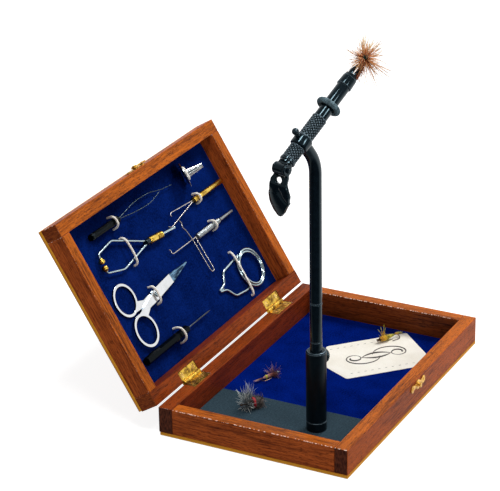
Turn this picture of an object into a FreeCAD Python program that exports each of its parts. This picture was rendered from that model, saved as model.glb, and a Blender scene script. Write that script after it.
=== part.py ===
import FreeCAD, Part
import Sketcher
import math
import os
from FreeCAD import Placement, Rotation, Vector

# Fly tying cabinet: a hinged hardwood case whose tray carries a tying vise on a post
# and whose lid carries the hand tools in elastic loops. Millimetres, +Z up. The origin is the
# centre of the case's underside, X runs along the hinges and -Y is the clasp side.

os.makedirs("parts", exist_ok=True)
doc = FreeCAD.newDocument("FlyTyingCabinet")
sheet = doc.addObject("Spreadsheet::Sheet", "Sizes")

X_AXIS = Vector(1, 0, 0)
Y_AXIS = Vector(0, 1, 0)
Z_AXIS = Vector(0, 0, 1)


class Size:
    """A number together with the sheet formula that gives it, so sums of sizes stay bound."""

    def __init__(self, number, formula):
        self.number = number
        self.formula = formula

    def joined(self, other, sign, number):
        text = other.formula if isinstance(other, Size) else repr(float(other))
        return Size(number, f"({self.formula} {sign} {text})")

    def __float__(self):
        return self.number

    def __add__(self, other):
        return self.joined(other, "+", self.number + float(other))

    def __sub__(self, other):
        return self.joined(other, "-", self.number - float(other))

    def __mul__(self, other):
        return self.joined(other, "*", self.number * float(other))

    def __truediv__(self, other):
        return self.joined(other, "/", self.number / float(other))

    def __neg__(self):
        return Size(-self.number, f"(0 - {self.formula})")

    def __radd__(self, other):
        return Size(float(other), repr(float(other))) + self

    def __rsub__(self, other):
        return Size(float(other), repr(float(other))) - self

    def __rmul__(self, other):
        return self * other


rows = []


def size(alias, number, note):
    """Writes one driving dimension to the sheet and returns it."""
    row = len(rows) + 1
    rows.append(alias)
    sheet.set(f"A{row}", note)
    sheet.set(f"B{row}", str(number))
    sheet.setAlias(f"B{row}", alias)
    return Size(float(number), f"Sizes.{alias}")


# ---------------------------------------------------------------- driving dimensions: case
case_width = size("case_width", 254, "case, along the hinges")
case_depth = size("case_depth", 160, "case, clasp to hinges")
wall = size("wall", 11, "thickness of the hardwood rails")
panel = size("panel", 3, "plywood panels")
base_wall = size("base_wall", 21.2, "height of the base rails")
lid_wall = size("lid_wall", 15.6, "height of the lid rails")
felt = size("felt", 0.8, "felt lining")
mat = size("mat", 1.2, "woven mat under the vise")
mat_width = size("mat_width", 72.7, "mat, from the left rail inwards")
lining_gap = size("lining_gap", 0.2, "lining to rails")
open_angle = size("open_angle", 121.6, "lid opening, on the hinge stops")
# hinges and clasp
hinge_setback = size("hinge_setback", 1.2, "pin axis behind the back face")
rim_gap = size("rim_gap", 1.2, "between the rims of the closed case")
left_inset = size("left_inset", 55, "centre of the left hinge from its end of the case")
right_inset = size("right_inset", 52.5, "centre of the right hinge from its end of the case")
hinge_length = size("hinge_length", 25, "hinge, along the pin")
leaf_width = size("leaf_width", 7.6, "flat part of a leaf")
leaf_thick = size("leaf_thick", 1.3, "hinge leaf")
knuckle_radius = size("knuckle_radius", 1.8, "hinge knuckle")
knuckle_gap = size("knuckle_gap", 0.1, "knuckle to mortise, and between knuckles")
mortise_slack = size("mortise_slack", 1.0, "mortise longer than the leaf at one end")
pin_radius = size("pin_radius", 0.8, "hinge pin")
pin_clear = size("pin_clear", 0.05, "running clearance of pins and spindles")
screw_head = size("screw_head", 2.1, "hinge screw head radius")
screw_shank = size("screw_shank", 0.9, "hinge screw shank radius")
screw_length = size("screw_length", 7, "hinge screw below its head")
screw_sink = size("screw_sink", 0.9, "depth of the countersink")
screw_spread = size("screw_spread", 8.6, "screws either side of the hinge centre")
clasp_x = size("clasp_x", 4, "clasp along the front")
clasp_length = size("clasp_length", 27, "clasp plates, end to end")
clasp_lobe = size("clasp_lobe", 3.1, "round ends of the clasp plates")
clasp_plate = size("clasp_plate", 0.8, "clasp plate thickness")
clasp_drop = size("clasp_drop", 5.4, "clasp studs from their rim")
stud_radius = size("stud_radius", 1.3, "clasp stud")
stud_cap = size("stud_cap", 2.1, "clasp stud cap")
latch_thick = size("latch_thick", 1.0, "latch arm thickness")
latch_width = size("latch_width", 3.2, "latch arm width")
# ---------------------------------------------------------------- driving dimensions: vise
post_inset = size("post_inset", 55, "vise post from the left face")
post_setback = size("post_setback", 52, "vise post from the clasp face")
heading = size("heading", 18, "vise head turned from X towards the clasp side, degrees")
head_tilt = size("head_tilt", 35, "vise head above level, degrees")
foot_height = size("foot_height", 7.5, "foot under the socket")
socket_radius = size("socket_radius", 8.0, "socket tube")
socket_top = size("socket_top", 67.3, "socket rim above the mat")
socket_floor = size("socket_floor", 14, "bottom of the socket bore")
rod_radius = size("rod_radius", 4.75, "post rod")
rod_clear = size("rod_clear", 0.05, "post rod in the socket and barrel in the eye")
rod_bottom = size("rod_bottom", 24, "lower end of the post rod")
first_joint = size("first_joint", 75.4, "lower ring joint of the post")
second_joint = size("second_joint", 107.3, "upper ring joint of the post")
joint_groove = size("joint_groove", 0.5, "chamfer at the ring joints")
stud_thread = size("stud_thread", 2.9, "threaded stud inside the ring joints")
stud_length = size("stud_length", 9, "threaded stud")
bend_radius = size("bend_radius", 30, "bend of the post")
eye_reach = size("eye_reach", 14.6, "straight rod from the bend to the barrel axis")
eye_height = size("eye_height", 241.2, "barrel axis above the mat, at the eye")
eye_radius = size("eye_radius", 7.4, "eye of the post, outside")
eye_length = size("eye_length", 10.6, "eye along the barrel")
knob_height = size("knob_height", 57, "socket thumbscrew above the mat")
knob_heading = size("knob_heading", 28, "thumbscrew, turned from the vise heading, degrees")
knob_radius = size("knob_radius", 7.2, "thumbscrew knob")
knob_thick = size("knob_thick", 4.6, "thumbscrew knob")
knob_shank = size("knob_shank", 2.0, "thumbscrew thread")
barrel_radius = size("barrel_radius", 4.4, "barrel inside the sleeves and the eye")
nose_radius = size("nose_radius", 5.2, "barrel in front of the sleeves")
draw_radius = size("draw_radius", 1.5, "draw rod")
sleeve_gap = size("sleeve_gap", 0.3, "sleeves to the eye")
rear_sleeve = size("rear_sleeve", 11.5, "rear knurled sleeve, long")
front_sleeve = size("front_sleeve", 17.1, "front knurled sleeve, long")
sleeve_radius = size("sleeve_radius", 5.9, "knurled sleeves")
ring_length = size("ring_length", 2.4, "lock ring behind the rear sleeve")
cap_start = size("cap_start", 53.5, "collet cap, from the eye")
cap_length = size("cap_length", 11, "collet cap")
cap_radius = size("cap_radius", 6.0, "collet cap")
jaw_reach = size("jaw_reach", 10, "jaws beyond the cap")
jaw_radius = size("jaw_radius", 3.9, "jaws at the cap")
jaw_tip = size("jaw_tip", 2.1, "jaws at the tip")
cam_pin_back = size("cam_pin_back", 26.1, "cam pin behind the eye")
cam_pin_radius = size("cam_pin_radius", 1.6, "cam pin")
cam_pin_length = size("cam_pin_length", 16.4, "cam pin")
tongue_width = size("tongue_width", 8, "cam block between the fork")
tongue_radius = size("tongue_radius", 4.5, "cam block round the pin")
fork_thick = size("fork_thick", 2.1, "cheeks of the lever")
lever_length = size("lever_length", 36.6, "lever, pin to tip")
lever_thick = size("lever_thick", 3, "lever paddle")
lever_dish = size("lever_dish", 4, "how far the paddle stands back")
lever_hole = size("lever_hole", 2.4, "hole in the lever")
lever_hole_at = size("lever_hole_at", 8.6, "hole from the pin")
paddle_width = size("paddle_width", 20.6, "widest part of the paddle")
ring_at = size("ring_at", 34.2, "rubber material ring on the barrel")
ring_bead = size("ring_bead", 2.2, "thickness radius of the rubber ring")
ring_fit = size("ring_fit", 0.35, "rubber ring to barrel")
# ---------------------------------------------------------------- driving dimensions: tools
lift = size("lift", 0.3, "tools clear of the felt")
loop_cord = size("loop_cord", 0.8, "elastic loop, cord radius")
scissors_x = size("scissors_x", -44.4, "scissors screw, from the middle of the board")
scissors_y = size("scissors_y", -13.4, "scissors screw, from the middle of the board")
scissors_turn = size("scissors_turn", 6, "scissors heading, degrees")
blade_length = size("blade_length", 56, "scissors, screw to tip")
blade_width = size("blade_width", 9, "scissors blade at the screw")
blade_thick = size("blade_thick", 1.6, "scissors blade")
blade_gap = size("blade_gap", 0.1, "between the blades")
grip_back = size("grip_back", 35, "finger rings behind the screw")
grip_side = size("grip_side", 14.6, "finger rings off the centre line")
grip_outer = size("grip_outer", 14, "finger ring, outside radius")
grip_inner = size("grip_inner", 11.8, "finger ring, inside radius")
bodkin_length = size("bodkin_length", 65.7, "bodkin handle")
bodkin_corner = size("bodkin_corner", 3.6, "bodkin handle, over corners")
needle_length = size("needle_length", 40, "bodkin needle")
needle_radius = size("needle_radius", 0.6, "bodkin needle")
threader_length = size("threader_length", 42.4, "threader handle")
threader_radius = size("threader_radius", 2.9, "threader handle")
fine_wire = size("fine_wire", 0.35, "threader wire radius")
bobbin_wire = size("bobbin_wire", 0.9, "bobbin frame wire radius")
bobbin_barrel = size("bobbin_barrel", 3.2, "bobbin barrel radius")
bobbin_tube = size("bobbin_tube", 1.1, "bobbin tube radius")
bead_radius = size("bead_radius", 2.6, "bobbin beads")
whip_handle = size("whip_handle", 2.6, "whip finisher handles, radius")
whip_wire = size("whip_wire", 0.5, "whip finisher wire radius")
plier_wire = size("plier_wire", 1.0, "hackle pliers wire radius")
plier_ring = size("plier_ring", 16.5, "hackle pliers ring radius")
flange_radius = size("flange_radius", 11, "hackle guard flange")
guard_length = size("guard_length", 17.2, "hackle guard, flange to nose")
guard_rise = size("guard_rise", 49, "hackle guard axis above the felt, degrees")
tag_length = size("tag_length", 85.5, "card tag")
tag_width = size("tag_width", 61, "card tag")
tag_clip = size("tag_clip", 7.6, "clipped corners, along the tag")
tag_thick = size("tag_thick", 0.6, "card")
tag_inset = size("tag_inset", 107.4, "lower clipped corner of the tag to the right rail")
tag_setback = size("tag_setback", 60.7, "lower clipped corner of the tag to the clasp rail")
tag_turn = size("tag_turn", -43.8, "tag heading, degrees")
threader_loop = size("threader_loop", 64, "threader wire loop, long")
threader_spread = size("threader_spread", 4.4, "threader wire loop, half width")
threader_tip = size("threader_tip", 18, "single wire at the threader's tip")
arm_length = size("arm_length", 69.5, "bobbin arms, long")
arm_spread = size("arm_spread", 14.3, "bobbin arms, widest from the centre line")
bobbin_length = size("bobbin_length", 17.1, "bobbin barrel")
bobbin_nose = size("bobbin_nose", 19, "bobbin tube beyond the barrel")
brass_length = size("brass_length", 50, "brass whip finisher handle")
steel_length = size("steel_length", 38.2, "steel whip finisher handle")
steel_nose = size("steel_nose", 24.6, "half hitch nose of the steel handle")
plier_reach = size("plier_reach", 51, "hackle pliers, ring centre to jaws")
fly_lean = size("fly_lean", 43, "hooked fly turned about the head, degrees")
fly_gape = size("fly_gape", 5, "gape of the fly hooks")
fly_shank = size("fly_shank", 10.5, "shank of the hook in the vise")
hackle_radius = size("hackle_radius", 15, "hackle of the fly in the vise")
hook_wire = size("hook_wire", 0.35, "fly hook wire radius")
# places of the tools on the lid's board, rows being counted from its middle
bodkin_inset = size("bodkin_inset", 18.5, "bodkin from the left rail")
bodkin_row = size("bodkin_row", -51.3, "bodkin")
threader_inset = size("threader_inset", 33.3, "threader from the left rail")
threader_row = size("threader_row", 54, "threader")
guard_apart = size("guard_apart", 144.7, "hackle guard from the butt of the threader")
guard_clear = size("guard_clear", 5, "hackle guard to the clasp rail")
brass_clear = size("brass_clear", 3.7, "brass whip finisher to the right rail")
brass_row = size("brass_row", 30.4, "brass whip finisher")
steel_apart = size("steel_apart", 20.4, "steel whip finisher behind the brass one")
steel_row = size("steel_row", 3.8, "steel whip finisher")
bobbin_apart = size("bobbin_apart", 78.6, "bobbin barrel behind the brass whip finisher")
bobbin_row = size("bobbin_row", 24.8, "bobbin")
bobbin_turn = size("bobbin_turn", -5, "bobbin heading, degrees")
plier_clear = size("plier_clear", 9.6, "hackle pliers to the right rail")
plier_row = size("plier_row", 6.5, "hackle pliers to the hinge rail")

doc.recompute()

half_width = case_width / 2
half_depth = case_depth / 2
rim = panel + base_wall
axis_y = half_depth + hinge_setback
axis_z = rim + rim_gap / 2
mat_top = panel + mat
felt_top = panel + felt
lid_rim = rim_gap / 2
lid_top = lid_rim + lid_wall
board_right = half_width - wall
board_top = half_depth - wall
left_hinge = left_inset - half_width
right_hinge = half_width - right_inset
post_x = post_inset - half_width
post_y = post_setback - half_depth


# ---------------------------------------------------------------- modelling helpers
def bind(thing, **sizes):
    """Ties properties to the sheet; plain numbers are set as they are."""
    for name, value in sizes.items():
        if isinstance(value, Size):
            thing.setExpression(name, value.formula)
            setattr(thing, name, float(value))
        else:
            setattr(thing, name, value)


def set_base(thing, place, turn=None):
    """Places a primitive by three sizes, after an optional fixed rotation."""
    thing.Placement = Placement(Vector(*[float(p) for p in place]), turn or Rotation())
    for axis, value in zip("xyz", place):
        if isinstance(value, Size):
            thing.setExpression(f"Placement.Base.{axis}", value.formula)


def box(name, low, high):
    """A block between two corners."""
    block = doc.addObject("Part::Box", name)
    bind(block, Length=high[0] - low[0], Width=high[1] - low[1], Height=high[2] - low[2])
    set_base(block, low)
    return block


AXIS_TURN = {
    "x": Rotation(Y_AXIS, 90),
    "y": Rotation(X_AXIS, -90),
    "z": Rotation(),
}


def along(axis, start, side):
    """The base point of a round piece that starts at start on the named axis."""
    a, b = side
    return {"x": (start, a, b), "y": (a, start, b), "z": (a, b, start)}[axis]


def rod(name, radius, start, end, axis="z", side=(0, 0)):
    """A cylinder along an axis from start to end."""
    piece = doc.addObject("Part::Cylinder", name)
    bind(piece, Radius=radius, Height=end - start)
    set_base(piece, along(axis, start, side), AXIS_TURN[axis])
    return piece


def cone(name, first, second, start, end, axis="z", side=(0, 0)):
    """A cone from radius first at start to radius second at end."""
    piece = doc.addObject("Part::Cone", name)
    bind(piece, Radius1=first, Radius2=second, Height=end - start)
    set_base(piece, along(axis, start, side), AXIS_TURN[axis])
    return piece


def ball(name, radius, place):
    """A sphere about a point."""
    piece = doc.addObject("Part::Sphere", name)
    bind(piece, Radius=radius)
    set_base(piece, place)
    return piece


def fuse(name, *pieces):
    """Joins overlapping pieces into one."""
    joined = doc.addObject("Part::MultiFuse", name)
    joined.Shapes = list(pieces)
    return joined


def cut(name, body, *tools):
    """Takes the tools out of a body."""
    result = doc.addObject("Part::Cut", name)
    result.Base = body
    result.Tool = tools[0] if len(tools) == 1 else fuse(name + "_tools", *tools)
    return result


def group(name, *pieces):
    """Separate solids that share one node."""
    together = doc.addObject("Part::Compound", name)
    together.Links = list(pieces)
    return together


def body_plane(body, role):
    """The body's own origin plane, such as XY_Plane."""
    return [f for f in body.Origin.OriginFeatures if f.Role == role][0]


def dimension(sketch, index, point, horizontal, vertical):
    """Holds one sketch point at two signed distances from the sketch's origin."""
    for kind, value in (("DistanceX", horizontal), ("DistanceY", vertical)):
        number = sketch.addConstraint(Sketcher.Constraint(kind, -1, 1, index, point, float(value)))
        if isinstance(value, Size):
            sketch.setExpression(f"Constraints[{number}]", value.formula)


def outline_sketch(body, name, points, plane="XY_Plane"):
    """A closed outline of straight lines through points, each held by its two sizes."""
    sketch = body.newObject("Sketcher::SketchObject", name)
    sketch.AttachmentSupport = [(body_plane(body, plane), "")]
    sketch.MapMode = "FlatFace"
    count = len(points)
    spots = [Vector(float(x), float(y), 0) for x, y in points]
    for i in range(count):
        sketch.addGeometry(Part.LineSegment(spots[i], spots[(i + 1) % count]), False)
    for i in range(count):
        sketch.addConstraint(Sketcher.Constraint("Coincident", i, 2, (i + 1) % count, 1))
    for i, (x, y) in enumerate(points):
        dimension(sketch, i, 1, x, y)
    return sketch


def circle_sketch(body, name, x, y, radius, plane="XY_Plane"):
    """A circle held by its centre and radius."""
    sketch = body.newObject("Sketcher::SketchObject", name)
    sketch.AttachmentSupport = [(body_plane(body, plane), "")]
    sketch.MapMode = "FlatFace"
    centre = Vector(float(x), float(y), 0)
    sketch.addGeometry(Part.Circle(centre, Z_AXIS, float(radius)), False)
    dimension(sketch, 0, 3, x, y)
    number = sketch.addConstraint(Sketcher.Constraint("Radius", 0, float(radius)))
    if isinstance(radius, Size):
        sketch.setExpression(f"Constraints[{number}]", radius.formula)
    return sketch


def plate(name, outline, thick, discs=(), holes=()):
    """A flat piece: an outline and round lobes padded up, then round holes through it."""
    body = doc.addObject("PartDesign::Body", name)
    pads = [outline_sketch(body, f"{name}_outline", outline)]
    for i, (x, y, radius) in enumerate(discs):
        pads.append(circle_sketch(body, f"{name}_lobe{i}", x, y, radius))
    for i, sketch in enumerate(pads):
        pad = body.newObject("PartDesign::Pad", f"{name}_pad{i}")
        pad.Profile = sketch
        bind(pad, Length=thick)
        doc.recompute()
    for i, (x, y, radius) in enumerate(holes):
        pocket = body.newObject("PartDesign::Pocket", f"{name}_hole{i}")
        pocket.Profile = circle_sketch(body, f"{name}_round{i}", x, y, radius)
        pocket.Type = "ThroughAll"
        pocket.Reversed = True
        doc.recompute()
    return body


def turned(name, profile):
    """A lathe piece about X: the profile lists (place along X, radius) round its section."""
    body = doc.addObject("PartDesign::Body", name)
    sketch = outline_sketch(body, f"{name}_section", profile)
    spun = body.newObject("PartDesign::Revolution", f"{name}_turn")
    spun.Profile = sketch
    spun.ReferenceAxis = (sketch, ["H_Axis"])
    spun.Angle = 360
    doc.recompute()
    return body


def bent_wire(name, points, radius, bend):
    """Wire bent through points in order, with an arc of about the bend radius at each corner."""
    path = [Vector(*[float(c) for c in point]) for point in points]
    edges = []
    here = path[0]
    for before, corner, after in zip(path, path[1:], path[2:]):
        a = (before - corner).normalize()
        c = (after - corner).normalize()
        half_turn = (math.pi - a.getAngle(c)) / 2
        room = 0.45 * min((before - corner).Length, (after - corner).Length)
        step = min(float(bend) * math.tan(half_turn), room)
        first = corner + a * step
        last = corner + c * step
        bisector = (a + c).normalize()
        arc_radius = step / math.tan(half_turn)
        centre = corner + bisector * math.hypot(step, arc_radius)
        middle = centre - bisector * arc_radius
        edges.append(Part.LineSegment(here, first).toShape())
        edges.append(Part.Arc(first, middle, last).toShape())
        here = last
    edges.append(Part.LineSegment(here, path[-1]).toShape())
    ring = Part.Circle(path[0], path[1] - path[0], float(radius)).toShape()
    wire = doc.addObject("Part::Feature", name)
    wire.Shape = Part.Wire(edges).makePipeShell([Part.Wire([ring])], True, False)
    return wire


nodes = {}


def node(label, piece, frame=None):
    """Names a finished piece, sets it in its frame and keeps it for export."""
    if frame is not None:
        if piece.TypeId in ("Part::Box", "Part::Cylinder", "Part::Cone", "Part::Sphere"):
            piece = group(f"{label}_seat", piece)
        piece.Placement = frame
    piece.Label = label
    nodes[label] = piece
    return piece


# ---------------------------------------------------------------- frames of the assembly
# The lid is modelled closed, with its origin on the hinge axis, and swung open in this frame.
lid_frame = Placement(Vector(0, float(axis_y), float(axis_z)), Rotation(X_AXIS, -float(open_angle)))
# The felt of the lid seen from the front: X along the hinges, Y towards the clasp, Z out of the felt.
board_frame = lid_frame * Placement(
    Vector(0, -float(axis_y), float(lid_top - felt)), Rotation(X_AXIS, 180)
)
# The post stands on the mat, and its X points where the vise head points.
post_frame = Placement(
    Vector(float(post_x), float(post_y), float(mat_top)), Rotation(Z_AXIS, -float(heading))
)
tilt = math.radians(float(head_tilt))
bend_lean = float(bend_radius) * (1 - math.cos(tilt))
bend_rise = float(bend_radius) * math.sin(tilt)
eye_lean = bend_lean + float(eye_reach) * math.sin(tilt)
bend_start = float(eye_height) - bend_rise - float(eye_reach) * math.cos(tilt)
# The head lies along X from the middle of the eye, with Z along the last stretch of the post.
head_frame = post_frame * Placement(
    Vector(-eye_lean, 0, float(eye_height)), Rotation(Y_AXIS, -float(head_tilt))
)
# The lever hangs straight down from the cam pin, along its own X.
lever_frame = head_frame * Placement(
    Vector(-float(cam_pin_back), 0, 0), Rotation(Y_AXIS, 90 + float(head_tilt))
)


def on_board(x, y, turn=0.0, height=0.0):
    """The frame of a tool on the lid's felt: its place, its heading in degrees and its height."""
    return board_frame * Placement(
        Vector(float(x), float(y), float(height)), Rotation(Z_AXIS, float(turn))
    )


# ---------------------------------------------------------------- base of the case
def mortise(name, centre, outer, leaf_top, leaf_bottom, back):
    """The recess for one hinge leaf: open at the back, a little long at its right end."""
    return box(
        name,
        (centre - hinge_length / 2 - lining_gap, back - leaf_width - lining_gap, leaf_bottom),
        (centre + hinge_length / 2 + mortise_slack, outer, leaf_top),
    )


def pilot_holes(name, centre, row, start, end):
    """The two screw holes under a hinge leaf."""
    return [
        rod(f"{name}_{i}", screw_shank + pin_clear / 2, start, end, "z", (centre + offset, row))
        for i, offset in enumerate((-screw_spread, screw_spread))
    ]


leaf_back = half_depth - 0.6 - knuckle_gap
leaf_row = leaf_back - leaf_width / 2
rail_parts = []
for side, centre in (("left", left_hinge), ("right", right_hinge)):
    rail_parts.append(
        mortise(f"base_{side}_mortise", centre, axis_y, rim + wall, rim - leaf_thick, leaf_back)
    )
    rail_parts += pilot_holes(
        f"base_{side}_pilot", centre, leaf_row, rim - leaf_thick - screw_length, rim
    )
front_block = box("BaseFront", (-half_width, -half_depth, panel), (half_width, wall - half_depth, rim))
node("base_front_rail", front_block)
back_block = box("BaseBack", (-half_width, half_depth - wall, panel), (half_width, half_depth, rim))
node("base_back_rail", cut("BaseBackRail", back_block, *rail_parts))
end_depth = half_depth - wall
left_block = box("BaseLeft", (-half_width, -end_depth, panel), (wall - half_width, end_depth, rim))
right_block = box("BaseRight", (half_width - wall, -end_depth, panel), (half_width, end_depth, rim))
node("base_left_rail", left_block)
node("base_right_rail", right_block)

foot_bolt = knob_shank + 0.4
foot_bolt_head = foot_bolt * 1.9
bolt_sink = panel - 1.0
bottom_sheet = box("BottomSheet", (-half_width, -half_depth, 0), (half_width, half_depth, panel))
bolt_hole = rod("PanelBoltHole", foot_bolt + pin_clear, -wall, panel + wall, "z", (post_x, post_y))
bolt_seat = cone(
    "PanelBoltSeat", foot_bolt_head + pin_clear, foot_bolt + pin_clear, 0, bolt_sink, "z", (post_x, post_y)
)
node("base_panel", cut("BasePanel", bottom_sheet, bolt_hole, bolt_seat))

lining_x = half_width - wall - lining_gap
lining_y = half_depth - wall - lining_gap
mat_edge = mat_width - (half_width - wall)
node("base_felt", box("BaseFelt", (mat_edge + lining_gap, -lining_y, panel), (lining_x, lining_y, felt_top)))
mat_sheet = box("MatSheet", (-lining_x, -lining_y, panel), (mat_edge, lining_y, mat_top))
mat_hole = rod("MatHole", foot_bolt + pin_clear, 0, mat_top + mat, "z", (post_x, post_y))
node("vise_mat", cut("ViseMat", mat_sheet, mat_hole))


# ---------------------------------------------------------------- lid of the case
lid_parts = []
for side, centre in (("left", left_hinge), ("right", right_hinge)):
    lid_parts.append(
        mortise(
            f"lid_{side}_mortise", centre, hinge_setback, lid_rim + leaf_thick, -wall,
            leaf_back - axis_y,
        )
    )
    lid_parts += pilot_holes(
        f"lid_{side}_pilot", centre, leaf_row - axis_y, lid_rim, lid_rim + leaf_thick + screw_length
    )
front_y = -half_depth - axis_y
back_y = half_depth - axis_y
node(
    "lid_front_rail",
    box("LidFront", (-half_width, front_y, lid_rim), (half_width, front_y + wall, lid_top)),
    lid_frame,
)
lid_back_block = box("LidBack", (-half_width, back_y - wall, lid_rim), (half_width, back_y, lid_top))
node("lid_back_rail", cut("LidBackRail", lid_back_block, *lid_parts), lid_frame)

lid_side_low = back_y - wall
for label, low, high in (
    ("lid_left_rail", -half_width, wall - half_width),
    ("lid_right_rail", half_width - wall, half_width),
):
    block = box(f"{label}_block", (low, front_y + wall, lid_rim), (high, lid_side_low, lid_top))
    node(label, block, lid_frame)
lid_sheet = box("LidSheet", (-half_width, front_y, lid_top), (half_width, back_y, lid_top + panel))
node("lid_panel", lid_sheet, lid_frame)
lid_lining = box("LidLining", (-lining_x, -lining_y, -felt), (lining_x, lining_y, 0))
node("lid_felt", lid_lining, board_frame)


# ---------------------------------------------------------------- hinges
def hinge_leaf(name, centre, up, slots):
    """A leaf with its knuckles about the pin axis; up is 1 for the lid's leaf, -1 for the base's."""
    low = lid_rim if up > 0 else -lid_rim - leaf_thick
    inner = leaf_back - axis_y - leaf_width
    outer = leaf_back - axis_y
    flat = box(
        f"{name}_flat",
        (centre - hinge_length / 2, inner, low),
        (centre + hinge_length / 2, outer, low + leaf_thick),
    )
    pieces = [flat]
    pitch = hinge_length / 5
    tang_low = lid_rim if up > 0 else -lid_rim - leaf_thick + knuckle_gap
    for i in slots:
        start = centre - hinge_length / 2 + pitch * i + knuckle_gap
        end = start + pitch - knuckle_gap * 2
        pieces.append(rod(f"{name}_knuckle{i}", knuckle_radius, start, end, "x"))
        pieces.append(
            box(f"{name}_tang{i}", (start, outer, tang_low), (end, 0, tang_low + leaf_thick - knuckle_gap))
        )
    bore = rod(
        f"{name}_bore", pin_radius + pin_clear, centre - hinge_length, centre + hinge_length, "x"
    )
    tools = [bore]
    row = inner + leaf_width / 2
    face = lid_rim if up > 0 else -lid_rim
    for i, offset in enumerate((-screw_spread, screw_spread)):
        spot = (centre + offset, row)
        shank_hole = screw_shank + pin_clear
        head_hole = screw_head + pin_clear
        tools.append(rod(f"{name}_screw{i}", shank_hole, low - 1, low + leaf_thick + 1, "z", spot))
        if up > 0:
            sizes = (head_hole, screw_shank, face, face + screw_sink)
        else:
            sizes = (screw_shank, head_hole, face - screw_sink, face)
        tools.append(cone(f"{name}_sink{i}", *sizes, "z", spot))
    return cut(f"{name}_leaf", fuse(f"{name}_blank", *pieces), *tools)


def hinge_screw(name, x, up):
    """A slotted countersunk screw through a leaf, driven away from the rim."""
    row = leaf_back - axis_y - leaf_width / 2
    face = lid_rim if up > 0 else -lid_rim
    if up > 0:
        head = cone(f"{name}_head", screw_head, screw_shank, face, face + screw_sink, "z", (x, row))
        shank = rod(f"{name}_shank", screw_shank, face, face + leaf_thick + screw_length, "z", (x, row))
        slot = box(f"{name}_slot", (x - 3, row - 0.25, face - 1), (x + 3, row + 0.25, face + 0.4))
    else:
        head = cone(f"{name}_head", screw_shank, screw_head, face - screw_sink, face, "z", (x, row))
        shank = rod(f"{name}_shank", screw_shank, face - leaf_thick - screw_length, face, "z", (x, row))
        slot = box(f"{name}_slot", (x - 3, row - 0.25, face - 0.4), (x + 3, row + 0.25, face + 1))
    return cut(name, fuse(f"{name}_blank", head, shank), slot)


pin_frame = Placement(Vector(0, float(axis_y), float(axis_z)), Rotation())
base_leaves = []
lid_leaves = []
pins = []
base_screws = []
lid_screws = []
for side, centre in (("left", left_hinge), ("right", right_hinge)):
    base_leaves.append(hinge_leaf(f"base_{side}", centre, -1, (0, 2, 4)))
    lid_leaves.append(hinge_leaf(f"lid_{side}", centre, 1, (1, 3)))
    pins.append(
        rod(f"{side}_pin", pin_radius, centre - hinge_length / 2, centre + hinge_length / 2, "x")
    )
    for i, offset in enumerate((-screw_spread, screw_spread)):
        base_screws.append(hinge_screw(f"base_{side}_screw{i}", centre + offset, -1))
        lid_screws.append(hinge_screw(f"lid_{side}_screw{i}", centre + offset, 1))
node("hinge_base_leaves", group("BaseLeaves", *base_leaves, *pins), pin_frame)
node("hinge_lid_leaves", group("LidLeaves", *lid_leaves), lid_frame)
node("hinge_base_screws", group("BaseScrews", *base_screws), pin_frame)
node("hinge_lid_screws", group("LidScrews", *lid_screws), lid_frame)

# ---------------------------------------------------------------- clasp
# Both plates lie on the front faces, seen in a frame with X along the rail, Y up, Z outwards.
lobe_at = clasp_length / 2 - clasp_lobe
waist = clasp_lobe * 0.6
plate_outline = [(-lobe_at, -waist), (lobe_at, -waist), (lobe_at, waist), (-lobe_at, waist)]
plate_lobes = [(-lobe_at, 0, clasp_lobe), (lobe_at, 0, clasp_lobe), (0, 0, clasp_lobe + 0.9)]
nail_holes = [(-lobe_at, 0, screw_shank + pin_clear), (lobe_at, 0, screw_shank + pin_clear)]
keeper_frame = Placement(
    Vector(float(clasp_x), -float(half_depth), float(rim - clasp_drop)), Rotation(X_AXIS, 90)
)
strike_frame = lid_frame * Placement(
    Vector(float(clasp_x), float(front_y), float(lid_rim + clasp_drop)), Rotation(X_AXIS, 90)
)


def clasp_stud(name):
    """The riveted stud of a clasp plate, with a shoulder below the latch and a cap above it."""
    shoulder = rod(f"{name}_shoulder", stud_radius * 1.5, 0, arm_low - pin_clear)
    stem = rod(f"{name}_stem", stud_radius, 0, stud_height)
    cap = rod(f"{name}_cap", stud_cap, stud_height, stud_height + clasp_plate)
    return fuse(name, shoulder, stem, cap)


def clasp_nails(name):
    """The two round-headed nails of a clasp plate."""
    nails = []
    for i, x in enumerate((-lobe_at, lobe_at)):
        head = cone(
            f"{name}_head{i}", screw_shank * 1.8, screw_shank, clasp_plate, nail_top, "z", (x, 0)
        )
        shank = rod(f"{name}_shank{i}", screw_shank, 0, clasp_plate * 1.5, "z", (x, 0))
        nails.append(fuse(f"{name}_nail{i}", head, shank))
    return nails


nail_top = clasp_plate * 1.7
arm_low = nail_top + pin_clear * 2
arm_high = arm_low + latch_thick
stud_height = arm_high + pin_clear * 2
keeper_plate = plate("KeeperPlate", plate_outline, clasp_plate, plate_lobes, nail_holes)
node("clasp_keeper", fuse("Keeper", keeper_plate, clasp_stud("KeeperStud")), keeper_frame)
node("clasp_keeper_nails", group("KeeperNails", *clasp_nails("keeper")), keeper_frame)
lid_plate = plate("LidPlate", plate_outline, clasp_plate, plate_lobes, nail_holes)
node("clasp_lid_plate", fuse("LidPlateRivet", lid_plate, clasp_stud("LidRivet")), strike_frame)
node("clasp_lid_nails", group("LidNails", *clasp_nails("lid")), strike_frame)
stud_pitch = clasp_drop * 2 + rim_gap
latch_end = stud_pitch + stud_radius * 2
arm_side = latch_width / 2
notch = stud_radius + pin_clear * 2
latch_outline = [
    (0, -arm_side),
    (latch_end, -arm_side * 1.5),
    (latch_end, arm_side * 1.5),
    (stud_pitch + notch, arm_side * 1.5),
    (stud_pitch + notch, -notch * 0.3),
    (stud_pitch - notch, -notch * 0.3),
    (stud_pitch - notch, arm_side),
    (0, arm_side),
]
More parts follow.
